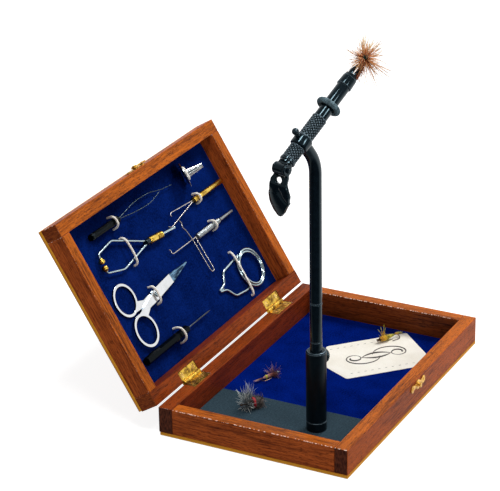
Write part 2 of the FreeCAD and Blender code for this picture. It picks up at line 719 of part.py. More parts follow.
latch = plate(
    "LatchArm", latch_outline, latch_thick, [(0, 0, clasp_lobe)], [(0, 0, stud_radius + pin_clear)]
)
node("clasp_latch", latch, strike_frame * Placement(Vector(0, 0, float(arm_low)), Rotation()))

# ---------------------------------------------------------------- vise: foot, socket and post
foot_spigot = rod_radius * 0.8
foot_blank = fuse(
    "FootBlank",
    rod("FootDisc", socket_radius, 0, foot_height),
    rod("FootSpigot", foot_spigot, 0, socket_floor - 1),
)
foot_thread = rod("FootThread", foot_bolt + pin_clear, -1, foot_height)
node("vise_foot", cut("Foot", foot_blank, foot_thread), post_frame)
bolt_low = -mat_top
bolt = fuse(
    "BoltBlank",
    cone("BoltHead", foot_bolt_head, foot_bolt, bolt_low, bolt_low + bolt_sink),
    rod("BoltShank", foot_bolt, bolt_low, foot_height - 1),
)
bolt_slot = box("BoltSlot", (-6, -0.6, bolt_low - 1), (6, 0.6, bolt_low + 1))
node("vise_foot_screw", cut("FootScrew", bolt, bolt_slot), post_frame)

socket_foot = foot_height + knuckle_gap
socket_blank = fuse(
    "SocketBlank",
    rod("SocketTube", socket_radius, socket_foot + joint_groove, socket_top - 1),
    cone("SocketFoot", socket_radius - joint_groove, socket_radius, socket_foot, socket_foot + joint_groove),
    cone("SocketRim", socket_radius, socket_radius - 1, socket_top - 1, socket_top),
)
socket_bore = rod("SocketBore", rod_radius + rod_clear, socket_floor, socket_top + 1)
spigot_bore = rod("SpigotBore", foot_spigot + pin_clear, 0, socket_floor - 0.9)
knob_frame = post_frame * Placement(
    Vector(0, 0, float(knob_height)), Rotation(Z_AXIS, float(knob_heading))
)
knob_hole = group(
    "KnobHole", rod("KnobHoleRod", knob_shank + pin_clear, 0, socket_radius * 2, "x")
)
knob_hole.Placement = Placement(Vector(0, 0, float(knob_height)), Rotation(Z_AXIS, float(knob_heading)))
node("vise_socket", cut("Socket", socket_blank, socket_bore, spigot_bore, knob_hole), post_frame)

knob_start = socket_radius + 2.4
knob_rim = knob_radius * 0.16
knob_profile = [
    (rod_radius + rod_clear * 2, 0),
    (rod_radius + rod_clear * 2, knob_shank),
    (socket_radius + 0.3, knob_shank),
    (socket_radius + 0.3, knob_shank * 1.7),
    (knob_start, knob_shank * 1.7),
    (knob_start, knob_radius - knob_rim),
    (knob_start + knob_rim, knob_radius),
    (knob_start + knob_thick - knob_rim, knob_radius),
    (knob_start + knob_thick, knob_radius - knob_rim),
    (knob_start + knob_thick, 0),
]
node("socket_thumbscrew", turned("Thumbscrew", knob_profile), knob_frame)


def post_section(name, start, end, stud_below, bore_above):
    """A length of post rod with a chamfer at each end, a stud below and a threaded bore above."""
    pieces = [
        rod(f"{name}_rod", rod_radius, start + joint_groove, end - joint_groove),
        cone(f"{name}_low", rod_radius - joint_groove, rod_radius, start, start + joint_groove),
        cone(f"{name}_high", rod_radius, rod_radius - joint_groove, end - joint_groove, end),
    ]
    if stud_below:
        pieces.append(rod(f"{name}_stud", stud_thread, start - stud_length, start + 1))
    blank = fuse(f"{name}_blank", *pieces)
    if not bore_above:
        return blank
    bore = rod(f"{name}_bore", stud_thread + pin_clear, end - stud_length - 0.5, end + 1)
    return cut(name, blank, bore)


node("post_lower_rod", post_section("PostLower", rod_bottom, first_joint - 0.1, False, True), post_frame)
node("post_middle_rod", post_section("PostMiddle", first_joint, second_joint - 0.1, True, True), post_frame)

# The top rod bends back, runs straight into the eye and ends there round the barrel.
bend_spine = [
    Part.LineSegment(Vector(0, 0, float(second_joint + joint_groove)), Vector(0, 0, bend_start)).toShape(),
]
half_tilt = tilt / 2
bend_centre = Vector(-float(bend_radius), 0, bend_start)
bend_end = bend_centre + Vector(math.cos(tilt), 0, math.sin(tilt)) * float(bend_radius)
bend_mid = bend_centre + Vector(math.cos(half_tilt), 0, math.sin(half_tilt)) * float(bend_radius)
eye_centre = Vector(-eye_lean, 0, float(eye_height))
bend_spine.append(Part.Arc(Vector(0, 0, bend_start), bend_mid, bend_end).toShape())
bend_spine.append(Part.LineSegment(bend_end, eye_centre).toShape())
rod_ring = Part.Circle(Vector(0, 0, float(second_joint + joint_groove)), Z_AXIS, float(rod_radius)).toShape()
top_rod = doc.addObject("Part::Feature", "TopRod")
top_rod.Shape = Part.Wire(bend_spine).makePipeShell([Part.Wire([rod_ring])], True, False)
eye_ring = group("EyeRing", rod("EyeRingRod", eye_radius, -eye_length / 2, eye_length / 2, "x"))
eye_bore = group("EyeBore", rod("EyeBoreRod", barrel_radius + rod_clear, -eye_length, eye_length, "x"))
screw_way = group("ScrewWay", rod("ScrewWayRod", knob_shank * 0.75 + pin_clear, 0, eye_radius + 1))
for piece in (eye_ring, eye_bore, screw_way):
    piece.Placement = Placement(eye_centre, Rotation(Y_AXIS, -float(head_tilt)))
top_blank = fuse(
    "TopBlank",
    top_rod,
    cone("TopLow", rod_radius - joint_groove, rod_radius, second_joint, second_joint + joint_groove),
    rod("TopStud", stud_thread, second_joint - stud_length, second_joint + 1),
    eye_ring,
)
node("post_upper_rod", cut("PostUpper", top_blank, eye_bore, screw_way), post_frame)

lock_stem = knob_shank * 0.75
lock_ball = knob_shank * 1.2
lock_screw = fuse(
    "LockBlank",
    rod("LockStem", lock_stem, barrel_radius + rod_clear * 2, eye_radius + 3.5),
    rod("LockCollar", lock_stem * 1.3, eye_radius + pin_clear * 4, eye_radius + 1.4),
    ball("LockBall", lock_ball, (0, 0, eye_radius + 3.5 + lock_ball / 2)),
)
node("head_lock_screw", lock_screw, head_frame)

# ---------------------------------------------------------------- vise: rotary head
sleeve_front = eye_length / 2 + sleeve_gap
sleeve_rear = -eye_length / 2 - sleeve_gap
ring_front = sleeve_rear - rear_sleeve - pin_clear * 2
barrel_rear = ring_front - ring_length - pin_clear
nose_start = sleeve_front + front_sleeve + pin_clear * 2
draw_bore = draw_radius + pin_clear
spigot_radius = barrel_radius * 0.95
spigot_end = cap_start + 3
barrel_profile = [
    (barrel_rear, draw_bore),
    (barrel_rear, barrel_radius),
    (nose_start, barrel_radius),
    (nose_start, nose_radius),
    (cap_start, nose_radius),
    (cap_start, spigot_radius),
    (spigot_end, spigot_radius),
    (spigot_end, draw_bore),
]
node("head_barrel", turned("Barrel", barrel_profile), head_frame)


def knurled_sleeve(name, start, end, radius):
    """A bored sleeve with a small chamfer at each end."""
    edge = radius - joint_groove
    bore = barrel_radius + pin_clear
    profile = [
        (start, bore),
        (start, edge),
        (start + joint_groove, radius),
        (end - joint_groove, radius),
        (end, edge),
        (end, bore),
    ]
    return turned(name, profile)


front = knurled_sleeve("FrontSleeve", sleeve_front, sleeve_front + front_sleeve, sleeve_radius)
rear = knurled_sleeve("RearSleeve", sleeve_rear - rear_sleeve, sleeve_rear, sleeve_radius)
lock = knurled_sleeve("LockRing", ring_front - ring_length, ring_front, sleeve_radius + 0.3)
node("front_knurled_sleeve", front, head_frame)
node("rear_knurled_sleeve", rear, head_frame)
node("rear_lock_ring", lock, head_frame)

# The cap is bored as a cone that squeezes the jaws when the draw rod pulls them back.
cap_end = cap_start + cap_length
cone_start = cap_start + 6
jaw_clear = pin_clear * 2
cap_profile = [
    (cap_start, spigot_radius + pin_clear),
    (cap_start, cap_radius - joint_groove),
    (cap_start + joint_groove, cap_radius),
    (cap_end - cap_length * 0.25, cap_radius - joint_groove),
    (cap_end, jaw_radius + 0.9),
    (cap_end, jaw_radius + jaw_clear),
    (cone_start, draw_radius * 1.9 + jaw_clear),
    (spigot_end + pin_clear, draw_radius * 1.9 + jaw_clear),
    (spigot_end + pin_clear, spigot_radius + pin_clear),
]
node("collet_cap", turned("ColletCap", cap_profile), head_frame)

jaw_start = spigot_end + 0.4
jaw_end = cap_end + jaw_reach
jaw_profile = [
    (jaw_start, 0),
    (jaw_start, draw_radius * 1.9),
    (cone_start, draw_radius * 1.9),
    (cap_end, jaw_radius),
    (cap_end + jaw_reach * 0.35, jaw_radius),
    (jaw_end, jaw_tip),
    (jaw_end, 0),
]
slit = box(
    "JawSlit", (jaw_start - 1, -hook_wire, -cap_radius), (jaw_end + 1, hook_wire, cap_radius)
)
fly_turn = Placement(Vector(), Rotation(X_AXIS, float(fly_lean)))
node("collet_jaws", cut("Jaws", turned("JawBlank", jaw_profile), slit), head_frame * fly_turn)
cam_x = -cam_pin_back
draw_back = cam_x + cam_pin_radius + 0.3
node("draw_rod", rod("DrawRod", draw_radius, draw_back, jaw_start, "x"), head_frame)

# ---------------------------------------------------------------- vise: cam and lever
block_front = barrel_rear
block_disc = rod("BlockDisc", nose_radius, block_front - 1.6, block_front, "x")
block_bar = box(
    "BlockBar",
    (cam_x, -tongue_width / 2, -tongue_radius * 0.8),
    (block_front - 0.5, tongue_width / 2, tongue_radius * 0.8),
)
block_eye = rod("BlockEye", tongue_radius, -tongue_width / 2, tongue_width / 2, "y", (cam_x, 0))
block_bore = rod("BlockBore", draw_bore, cam_x, block_front + 1, "x")
block_pin = rod("BlockPinHole", cam_pin_radius + pin_clear, -tongue_width, tongue_width, "y", (cam_x, 0))
block_blank = fuse("BlockBlank", block_disc, block_bar, block_eye)
node("cam_block", cut("CamBlock", block_blank, block_bore, block_pin), head_frame)
pin_half = cam_pin_length / 2
node("cam_pin", rod("CamPin", cam_pin_radius, -pin_half, pin_half, "y", (cam_x, 0)), head_frame)

cheek_in = tongue_width / 2 + pin_clear * 2
cheek_out = cheek_in + fork_thick
web_start = tongue_radius + 0.7
paddle_half = paddle_width / 2
lever_outline = [
    (web_start, -cheek_out),
    (web_start + 5, -cheek_out),
    (lever_length * 0.38, -paddle_half * 0.83),
    (lever_length * 0.52, -paddle_half),
    (lever_length * 0.7, -paddle_half * 0.88),
    (lever_length * 0.88, -paddle_half * 0.52),
    (lever_length, -paddle_half * 0.12),
    (lever_length, paddle_half * 0.12),
    (lever_length * 0.88, paddle_half * 0.52),
    (lever_length * 0.7, paddle_half * 0.88),
    (lever_length * 0.52, paddle_half),
    (lever_length * 0.38, paddle_half * 0.83),
    (web_start + 5, cheek_out),
    (web_start, cheek_out),
]
leaf = plate("Leaf", lever_outline, lever_dish * 4, (), [(lever_hole_at, 0, lever_hole)])
leaf.Placement = Placement(Vector(0, 0, -float(lever_dish) * 3), Rotation())
# Seen from the side the paddle is a bent strip that stands back behind the pin.
dish_line = [
    (web_start, 0),
    (lever_length * 0.32, -lever_dish * 0.45),
    (lever_length * 0.5, -lever_dish),
    (lever_length * 0.76, -lever_dish * 0.95),
    (lever_length, -lever_dish * 0.25),
]
strip_outline = [(x, z + lever_thick / 2) for x, z in dish_line]
strip_outline += [(x, z - lever_thick / 2) for x, z in reversed(dish_line)]
strip = plate("LeafStrip", strip_outline, paddle_width + 2)
strip.Placement = Placement(Vector(0, float(paddle_half) + 1, 0), Rotation(X_AXIS, 90))
paddle = doc.addObject("Part::Common", "Paddle")
paddle.Base = leaf
paddle.Tool = strip
cheeks = []
for i, (low, high) in enumerate(((cheek_in, cheek_out), (-cheek_out, -cheek_in))):
    cheeks.append(rod(f"Cheek{i}", tongue_radius, low, high, "y"))
    cheeks.append(
        box(f"CheekBar{i}", (0, low, -lever_thick / 2), (web_start + 2, high, lever_thick / 2))
    )
lever_bore = rod("LeverBore", cam_pin_radius + pin_clear, -cheek_out - 1, cheek_out + 1, "y")
node("cam_lever", cut("Lever", fuse("LeverBlank", paddle, *cheeks), lever_bore), lever_frame)

ring_hold = doc.addObject("Part::Torus", "RubberRing")
bind(ring_hold, Radius1=nose_radius + ring_fit + ring_bead, Radius2=ring_bead)
material_ring = group("MaterialRing", ring_hold)
ring_frame = head_frame * Placement(Vector(float(ring_at), 0, 0), Rotation(Y_AXIS, 90))
node("material_ring", material_ring, ring_frame)


# ---------------------------------------------------------------- scissors
def scissors_half(name, side):
    """A blade, its shank and its finger ring; side is 1 or -1 for the ring's side."""
    half = blade_width / 2
    outline = [
        (1, -half * side),
        (blade_width, -half * side),
        (blade_length, -half * 0.14 * side),
        (blade_length, half * 0.06 * side),
        (blade_width, half * 0.9 * side),
        (0, half * side),
        (-grip_back * 0.45, half * 0.9 * side),
        (-grip_back + grip_outer * 0.84, (grip_side - grip_outer * 0.53) * side),
        (-grip_back + grip_outer * 0.75, (grip_side - grip_outer * 0.6) * side),
        (-grip_back + grip_outer * 0.1, (grip_side - grip_outer * 0.95) * side),
        (-grip_back * 0.55, -half * 0.1 * side),
        (-half * 0.9, -half * 0.7 * side),
    ]
    ring = [(-grip_back, grip_side * side, grip_outer)]
    holes = [(-grip_back, grip_side * side, grip_inner), (0, 0, screw_shank + pin_clear)]
    return plate(name, outline, blade_thick, ring, holes)


scissors_turn_z = Placement(Vector(0, 0, float(blade_thick + blade_gap)), Rotation())
scissors_frame = on_board(scissors_x, scissors_y, scissors_turn, lift)
node("scissors_lower_blade", scissors_half("LowerBlade", 1), scissors_frame)
node("scissors_upper_blade", scissors_half("UpperBlade", -1), scissors_frame * scissors_turn_z)
blades_top = blade_thick * 2 + blade_gap * 2
pivot_screw = fuse(
    "PivotBlank",
    rod("PivotStem", screw_shank, 0, blades_top + 0.5),
    cone("PivotHead", screw_head * 1.1, screw_head * 0.8, blades_top, blades_top + 1.0),
)
pivot_slot = box("PivotSlot", (-4, -0.25, blades_top + 0.6), (4, 0.25, blades_top + 3))
node("scissors_screw", cut("PivotScrew", pivot_screw, pivot_slot), scissors_frame)

# ---------------------------------------------------------------- bodkin and threader
needle_hold = 12
bodkin_x = bodkin_inset - board_right
bodkin_frame = on_board(bodkin_x, bodkin_row, 0, bodkin_corner * math.cos(math.pi / 6) + lift)
hexagon = doc.addObject("Part::Prism", "BodkinHex")
bind(hexagon, Polygon=6, Circumradius=bodkin_corner, Height=bodkin_length)
hexagon.Placement = Placement(Vector(), Rotation(Y_AXIS, 90) * Rotation(Z_AXIS, 30))
needle_bore = rod(
    "NeedleBore", needle_radius + pin_clear, bodkin_length - needle_hold, bodkin_length + 1, "x"
)
node("bodkin_handle", cut("BodkinHandle", hexagon, needle_bore), bodkin_frame)
needle_end = bodkin_length + needle_length
needle_point = needle_radius * 8
needle_profile = [
    (bodkin_length - needle_hold + 0.2, 0),
    (bodkin_length - needle_hold + 0.2, needle_radius),
    (needle_end - needle_point, needle_radius),
    (needle_end, needle_radius * 0.15),
    (needle_end, 0),
]
node("bodkin_needle", turned("Needle", needle_profile), bodkin_frame)

wire_hold = 6
threader_x = threader_inset - board_right
threader_frame = on_board(threader_x, threader_row, 0, threader_radius + lift)
handle_edge = threader_radius - joint_groove
wire_pair = fine_wire * 2.6
threader_profile = [
    (0, 0),
    (0, handle_edge),
    (joint_groove, threader_radius),
    (threader_length - joint_groove, threader_radius),
    (threader_length, handle_edge),
    (threader_length, wire_pair),
    (threader_length - wire_hold, wire_pair),
    (threader_length - wire_hold, 0),
]
node("threader_handle", turned("ThreaderHandle", threader_profile), threader_frame)
pair = fine_wire * 1.25
loop_start = threader_length + wire_hold * 0.6
upper_wire = bent_wire(
    "ThreaderUpper",
    [
        (threader_length - wire_hold + 0.2, pair, 0),
        (loop_start, pair, 0),
        (loop_start + threader_loop * 0.42, threader_spread, 0),
        (loop_start + threader_loop * 0.78, threader_spread * 0.8, 0),
        (loop_start + threader_loop, 0, 0),
        (loop_start + threader_loop + threader_tip, -threader_spread * 0.45, 0),
    ],
    fine_wire, 12,
)
lower_wire = bent_wire(
    "ThreaderLower",
    [
        (threader_length - wire_hold + 0.2, -pair, 0),
        (loop_start, -pair, 0),
        (loop_start + threader_loop * 0.35, -threader_spread * 0.8, 0),
        (loop_start + threader_loop * 0.72, -threader_spread, 0),
        (loop_start + threader_loop * 0.98, -fine_wire * 2.4, 0),
    ],
    fine_wire, 12,
)
node("threader_wire", group("ThreaderWire", upper_wire, lower_wire), threader_frame)

# ---------------------------------------------------------------- bobbin
brass_x = board_right - brass_clear - brass_length
bobbin_x = brass_x - bobbin_apart
bobbin_frame = on_board(bobbin_x, bobbin_row, bobbin_turn, bobbin_barrel + lift)
tube_bore = bobbin_tube + pin_clear
arm_root = bobbin_wire + 0.5
arm_hold = 4
barrel_back = arm_hold + 0.6
bobbin_profile = [
    (barrel_back, 0),
    (barrel_back, bobbin_barrel * 0.8),
    (barrel_back + 1, bobbin_barrel),
    (bobbin_length - 2, bobbin_barrel),
    (bobbin_length, bobbin_barrel * 0.7),
    (bobbin_length, tube_bore),
    (barrel_back + 2, tube_bore),
    (barrel_back + 2, 0),
]
collar_blank = rod("ArmCollar", bobbin_barrel * 0.94, 0, barrel_back - pin_clear, "x")
collar_holes = [
    rod(f"ArmHole{i}", bobbin_wire + pin_clear, -1, arm_hold + 0.2, "x", (side * arm_root, 0))
    for i, side in enumerate((-1, 1))
]
bobbin_body = turned("BobbinBody", bobbin_profile)
tube = rod("BobbinTube", bobbin_tube, barrel_back + 2.2, bobbin_length + bobbin_nose, "x")
tube_way = rod("BobbinTubeWay", bobbin_tube * 0.7, barrel_back, bobbin_length + bobbin_nose + 1, "x")
collar = cut("ArmCollarBored", collar_blank, *collar_holes)
bobbin_pieces = [collar, bobbin_body, cut("BobbinPipe", tube, tube_way)]
node("bobbin_barrel_and_tube", group("BobbinBarrel", *bobbin_pieces), bobbin_frame)
bead_at = bead_radius + 0.6
arms = []
for i, side in enumerate((-1, 1)):
    spread = arm_spread * (0.76 if side < 0 else 1)
    arms.append(
        bent_wire(
            f"BobbinArm{i}",
            [
                (arm_hold, arm_root * side, 0),
                (-8, arm_root * side, 0),
                (-arm_length * 0.68, spread * side, 0),
                (-arm_length, spread * 0.66 * side, 0),
                (-arm_length, (bead_at + 0.4) * side, 0),
            ],
            bobbin_wire, 6,
        )
    )
    bead = ball(f"Bead{i}", bead_radius, (-arm_length, bead_at * side, 0))
    low, high = (bead_at, bead_at * 3) if side > 0 else (-bead_at * 3, -bead_at)
    bead_hole = rod(f"BeadHole{i}", bobbin_wire + pin_clear, low, high, "y", (-arm_length, 0))
    arms.append(cut(f"BoredBead{i}", bead, bead_hole))
node("bobbin_arms_and_beads", group("BobbinArms", *arms), bobbin_frame)


# ---------------------------------------------------------------- whip finishers
def whip_profile(length, nose):
    """A turned handle, bored at its front for the wires, with an optional thin nose behind."""
    edge = whip_handle - joint_groove
    bore = whip_wire * 2.5
    profile = [
        (0, bore),
        (0, edge),
        (joint_groove, whip_handle),
        (length * 0.12, whip_handle),
        (length * 0.14, whip_handle * 0.85),
        (length * 0.18, whip_handle * 0.85),
        (length * 0.2, whip_handle),
    ]
    if nose is None:
        profile += [(length - joint_groove, whip_handle), (length, edge), (length, 0)]
    else:
        thin = whip_handle * 0.5
        profile += [
            (length - 1, whip_handle),
            (length + 2, thin * 1.2),
            (length + nose - 1, thin),
            (length + nose, thin * 0.5),
            (length + nose, 0),
        ]
    return profile + [(wire_hold + 0.4, 0), (wire_hold + 0.4, bore)]


whip_height = whip_handle + lift
steel_x = brass_x - steel_apart
brass_frame = on_board(brass_x, brass_row, 0, whip_height)
steel_frame = on_board(steel_x, steel_row, 0, whip_height)
root = whip_wire * 1.2
node("brass_whip_handle", turned("BrassHandle", whip_profile(brass_length, None)), brass_frame)
brass_short = bent_wire(
    "BrassShort", [(wire_hold, root, 0), (-3, root, 0), (-36, 2.8, 0), (-38.5, 0.9, 0)], whip_wire, 1.5
)
brass_long = bent_wire(
    "BrassLong", [(wire_hold, -root, 0), (-3, -root, 0), (-42, -7.8, -1.6), (-46, -5.6, -1.6)], whip_wire, 1.5
)
node("brass_whip_wires", group("BrassWires", brass_short, brass_long), brass_frame)
node("steel_whip_handle", turned("SteelHandle", whip_profile(steel_length, steel_nose)), steel_frame)
steel_straight = bent_wire(
    "SteelStraight", [(wire_hold, root, 0), (-39.5, root, 0), (-42.4, 5.5, 0)], whip_wire, 1.5
)
over = whip_wire * 2.6
steel_hooked = bent_wire(
    "SteelHooked",
    [
        (wire_hold, -root, 0),
        (-2, -root, 0),
        (-2.4, -26, over * 0.6),
        (-5, -29.5, over),
        (-7.2, -2, over),
        (-10.9, 15, over),
        (-8.8, 18.4, over),
    ],
    whip_wire, 1.2,
)
node("steel_whip_wires", group("SteelWires", steel_straight, steel_hooked), steel_frame)

# ---------------------------------------------------------------- hackle pliers and guard
pliers_x = board_right - plier_clear - plier_ring - plier_wire
pliers_y = plier_row + plier_ring + plier_wire - board_top
pliers_frame = on_board(pliers_x, pliers_y, 0, plier_wire + lift)
plier_loop = doc.addObject("Part::Torus", "PlierRing")
bind(plier_loop, Radius1=plier_ring, Radius2=plier_wire)
plier_pieces = [plier_loop]
jaw_side = plier_wire + 0.1
for i, side in enumerate((-1, 1)):
    plier_pieces.append(
        bent_wire(
            f"PlierArm{i}",
            [
                (-plier_ring * 0.4, plier_ring * 0.9165 * side, 0),
                (-plier_reach * 0.4, plier_ring * 0.82 * side, 0),
                (-plier_reach * 0.72, plier_ring * 0.7 * side, 0),
                (-plier_reach * 0.86, jaw_side * 2.2 * side, 0),
                (-plier_reach, jaw_side * side, 0),
            ],
            plier_wire, 6,
        )
    )
    low, high = (0.1, 1.9) if side > 0 else (-1.9, -0.1)
    plier_pieces.append(
        box(f"PlierJaw{i}", (-plier_reach - 3, low, -plier_wire), (-plier_reach + 3, high, plier_wire))
    )
node("hackle_pliers", fuse("Pliers", *plier_pieces), pliers_frame)

guard_tilt = math.radians(float(guard_rise))
guard_height = float(flange_radius) * math.cos(guard_tilt) + float(lift)
guard_x = threader_x + guard_apart
guard_y = board_top - guard_clear - flange_radius
guard_lean = Placement(Vector(), Rotation(Y_AXIS, -float(guard_rise)))
guard_frame = on_board(guard_x, guard_y, 0, guard_height) * guard_lean
guard_profile = [
    (0, 3.3),
    (0, flange_radius),
    (0.8, flange_radius),
    (0.8, 4.1),
    (guard_length, 2.1),
    (guard_length, 1.4),
]
node("hackle_guard", turned("Guard", guard_profile), guard_frame)


# ---------------------------------------------------------------- elastic loops on the lid
def elastic_loop(name, x, y, width, height, lean=0.0):
    """An arch of elastic cord over a tool, with both ends sewn to the felt."""
    half = width / 2
    foot_x = x + lean
    arch = [(x, y - half, height), (x, y + half, height)]
    if lean:
        arch = [(foot_x, y - half, 1.2)] + arch + [(foot_x, y + half, 1.2)]
    arch = [(foot_x, y - half, 0)] + arch + [(foot_x, y + half, 0)]
    return bent_wire(name, arch, loop_cord, float(height) * 0.6)


over_cord = lift * 2 + loop_cord
bodkin_top = bodkin_corner * 2 + lift
blades_high = blades_top + 1 + lift
# How far along its tool each loop sits, as a share of the tool's length.
bodkin_hold = bodkin_x + bodkin_length * 0.82344
threader_hold = threader_x + threader_length * 0.8184
bobbin_hold = bobbin_x - arm_length * 0.44173
brass_hold = brass_x + brass_length * 0.124
steel_hold = steel_x + steel_length * 0.7356
pliers_hold = pliers_x - plier_ring * 0.903
loops = [
    elastic_loop("BodkinLoop", bodkin_hold, bodkin_row, bodkin_corner * 2 + 6, bodkin_top + over_cord),
    elastic_loop(
        "ThreaderLoop", threader_hold, threader_row,
        threader_radius * 2 + 4.6, threader_radius * 2 + over_cord + lift,
    ),
    elastic_loop(
        "ScissorsLoop", scissors_x - 1, scissors_y + 0.1, blade_width + 6.5, blades_high + over_cord
    ),
    elastic_loop(
        "BobbinLoop", bobbin_hold, bobbin_row + 2.7, 24.6, bobbin_barrel + bobbin_wire + over_cord + lift
    ),
    elastic_loop(
        "BrassLoop", brass_hold, brass_row, whip_handle * 2 + 3.4, whip_handle * 2 + over_cord + lift
    ),
    elastic_loop(
        "SteelLoop", steel_hold, steel_row, whip_handle * 2 + 3.4, whip_handle * 2 + over_cord + lift
    ),
    elastic_loop(
        "PlierLoop", pliers_hold, pliers_y + 0.4, plier_ring * 2 + 8.4, plier_wire * 2 + over_cord + lift
    ),
    elastic_loop("GuardLoop", guard_x + 2, guard_y, 12, guard_length - 0.9, 10),
]
node("tool_loops", group("ToolLoops", *loops), board_frame)


# ---------------------------------------------------------------- card tag and flies
tag_outline = [
    (0, tag_clip * 3.2),
    (tag_clip, 0),
    (tag_length, 0),
    (tag_length, tag_width),
    (tag_clip * 1.8, tag_width),
    (0, tag_width - tag_clip * 2.8),
]
tag_x = board_right - tag_inset
tag_y = tag_setback - board_top
tag_frame = Placement(
    Vector(float(tag_x), float(tag_y), float(felt_top)), Rotation(Z_AXIS, float(tag_turn))
)
node("card_tag", plate("CardTag", tag_outline, tag_thick), tag_frame)


def fly_hook(name, shank, gape, side):
    """A hook in the XY plane: eye at the origin, bend at the end, point on the given side."""
    reach = float(shank)
    drop = float(gape) * side
    bend = float(gape) / 2
    spine = [
        Part.LineSegment(Vector(), Vector(reach, 0, 0)).toShape(),
        Part.Arc(Vector(reach, 0, 0), Vector(reach + bend, drop / 2, 0), Vector(reach, drop, 0)).toShape(),
        Part.LineSegment(Vector(reach, drop, 0), Vector(reach * 0.66, drop, 0)).toShape(),
    ]
    ring = Part.Circle(Vector(), X_AXIS, float(hook_wire)).toShape()
    wire = doc.addObject("Part::Feature", name)
    wire.Shape = Part.Wire(spine).makePipeShell([Part.Wire([ring])], True, False)
    return wire


def loose_fly(name, x, y, turn, floor, shank, fat, side):
    """A fly lying on its side: a hook and a spindle of dressing round its shank."""
    dressing = [
        (1, 0),
        (1.2, fat * 0.5),
        (shank * 0.3, fat),
        (shank * 0.75, fat * 0.7),
        (shank, fat * 0.25),
        (shank, 0),
    ]
    fly = fuse(name, fly_hook(f"{name}_hook", shank, fly_gape, side), turned(f"{name}_body", dressing))
    height = float(floor) + float(fat) + 0.05
    fly.Placement = Placement(Vector(float(x), float(y), height), Rotation(Z_AXIS, turn))
    return fly


flies = [
    loose_fly("NymphFly", tag_x + 75.4, tag_y - 2.2, -27, felt_top + tag_thick, 18, 2.6, -1),
    loose_fly("BeadFly", board_right - 118, board_top - 28.7, 157, felt_top, 17, 2.0, 1),
    loose_fly("HairFly", 51 - board_right, board_top - 39, 36, mat_top, 17, 4.5, 1),
]
node("loose_flies", group("LooseFlies", *flies))

hook_rear = jaw_end - 1.2
# The hook stands in the jaw slit with its eye up and its bend between the jaws.
hook_stand = Rotation(Vector(0, 0, -1), Vector(1, 0, 0), Vector(0, -1, 0), "ZXY")
shank_frame = head_frame * fly_turn * Placement(
    Vector(float(hook_rear + fly_gape), 0, float(fly_shank)), hook_stand
)
vise_hook = fly_hook("ViseHook", fly_shank, fly_gape, -1)
around = hook_wire + 0.02
hackle_at = fly_shank - 6.6
vise_dressing = turned(
    "ViseDressing",
    [
        (0.8, around),
        (1, 1.2),
        (hackle_at - 1.6, 1.5),
        (hackle_at - 0.4, hackle_radius),
        (hackle_at + 0.4, hackle_radius),
        (hackle_at + 1.5, 1.4),
        (fly_shank - 1, 0.9),
        (fly_shank - 1, around),
    ],
)
node("tied_fly", group("TiedFly", vise_hook, vise_dressing), shank_frame)

# ---------------------------------------------------------------- checks and export
doc.recompute()
for thing in doc.Objects:
    faults = [state for state in thing.State if state in ("Invalid", "Error")]
    if faults:
        raise RuntimeError(f"{thing.Name} did not build: {faults}")
for label, piece in nodes.items():
    if piece.Shape.isNull() or not piece.Shape.isValid() or not piece.Shape.Solids:
        raise RuntimeError(f"{label} has no valid solid")
for label, piece in nodes.items():
    piece.Shape.exportStep(f"parts/{label}.step")
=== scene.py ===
import bmesh
import bpy
import math
import numpy as np
from mathutils import Euler, Matrix, Vector


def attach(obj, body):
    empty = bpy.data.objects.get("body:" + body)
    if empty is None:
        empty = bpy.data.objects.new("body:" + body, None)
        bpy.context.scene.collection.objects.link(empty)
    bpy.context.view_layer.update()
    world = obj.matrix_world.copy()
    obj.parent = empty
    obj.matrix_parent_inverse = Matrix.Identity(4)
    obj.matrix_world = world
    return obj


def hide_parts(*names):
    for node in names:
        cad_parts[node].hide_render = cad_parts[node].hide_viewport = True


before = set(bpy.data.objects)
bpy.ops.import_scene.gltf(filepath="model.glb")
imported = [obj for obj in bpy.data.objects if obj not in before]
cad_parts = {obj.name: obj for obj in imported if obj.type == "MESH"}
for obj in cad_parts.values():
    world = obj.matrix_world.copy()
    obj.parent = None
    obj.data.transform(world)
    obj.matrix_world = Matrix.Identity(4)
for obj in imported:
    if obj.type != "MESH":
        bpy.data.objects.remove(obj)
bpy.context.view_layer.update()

# ------------------------------------------------------------------ hardwood rails
# Eight mahogany rails, four round the base tray and four round the lid. The front and back rails
# run the full length and show their end grain; the end rails are glued between them. The rims
# are lightly rounded and the wood is varnished, so its open pores show as short dark dashes.


def hue(red, green, blue):
    """A colour given as 0 to 255 display values, turned into linear light."""
    display = np.array((red, green, blue)) / 255
    linear = np.where(display <= 0.04045, display / 12.92, ((display + 0.055) / 1.055) ** 2.4)
    return (*linear.tolist(), 1.0)


def scaled(colour, level):
    """A colour made lighter or darker, with its alpha kept."""
    return (*(level * part for part in colour[:3]), 1.0)


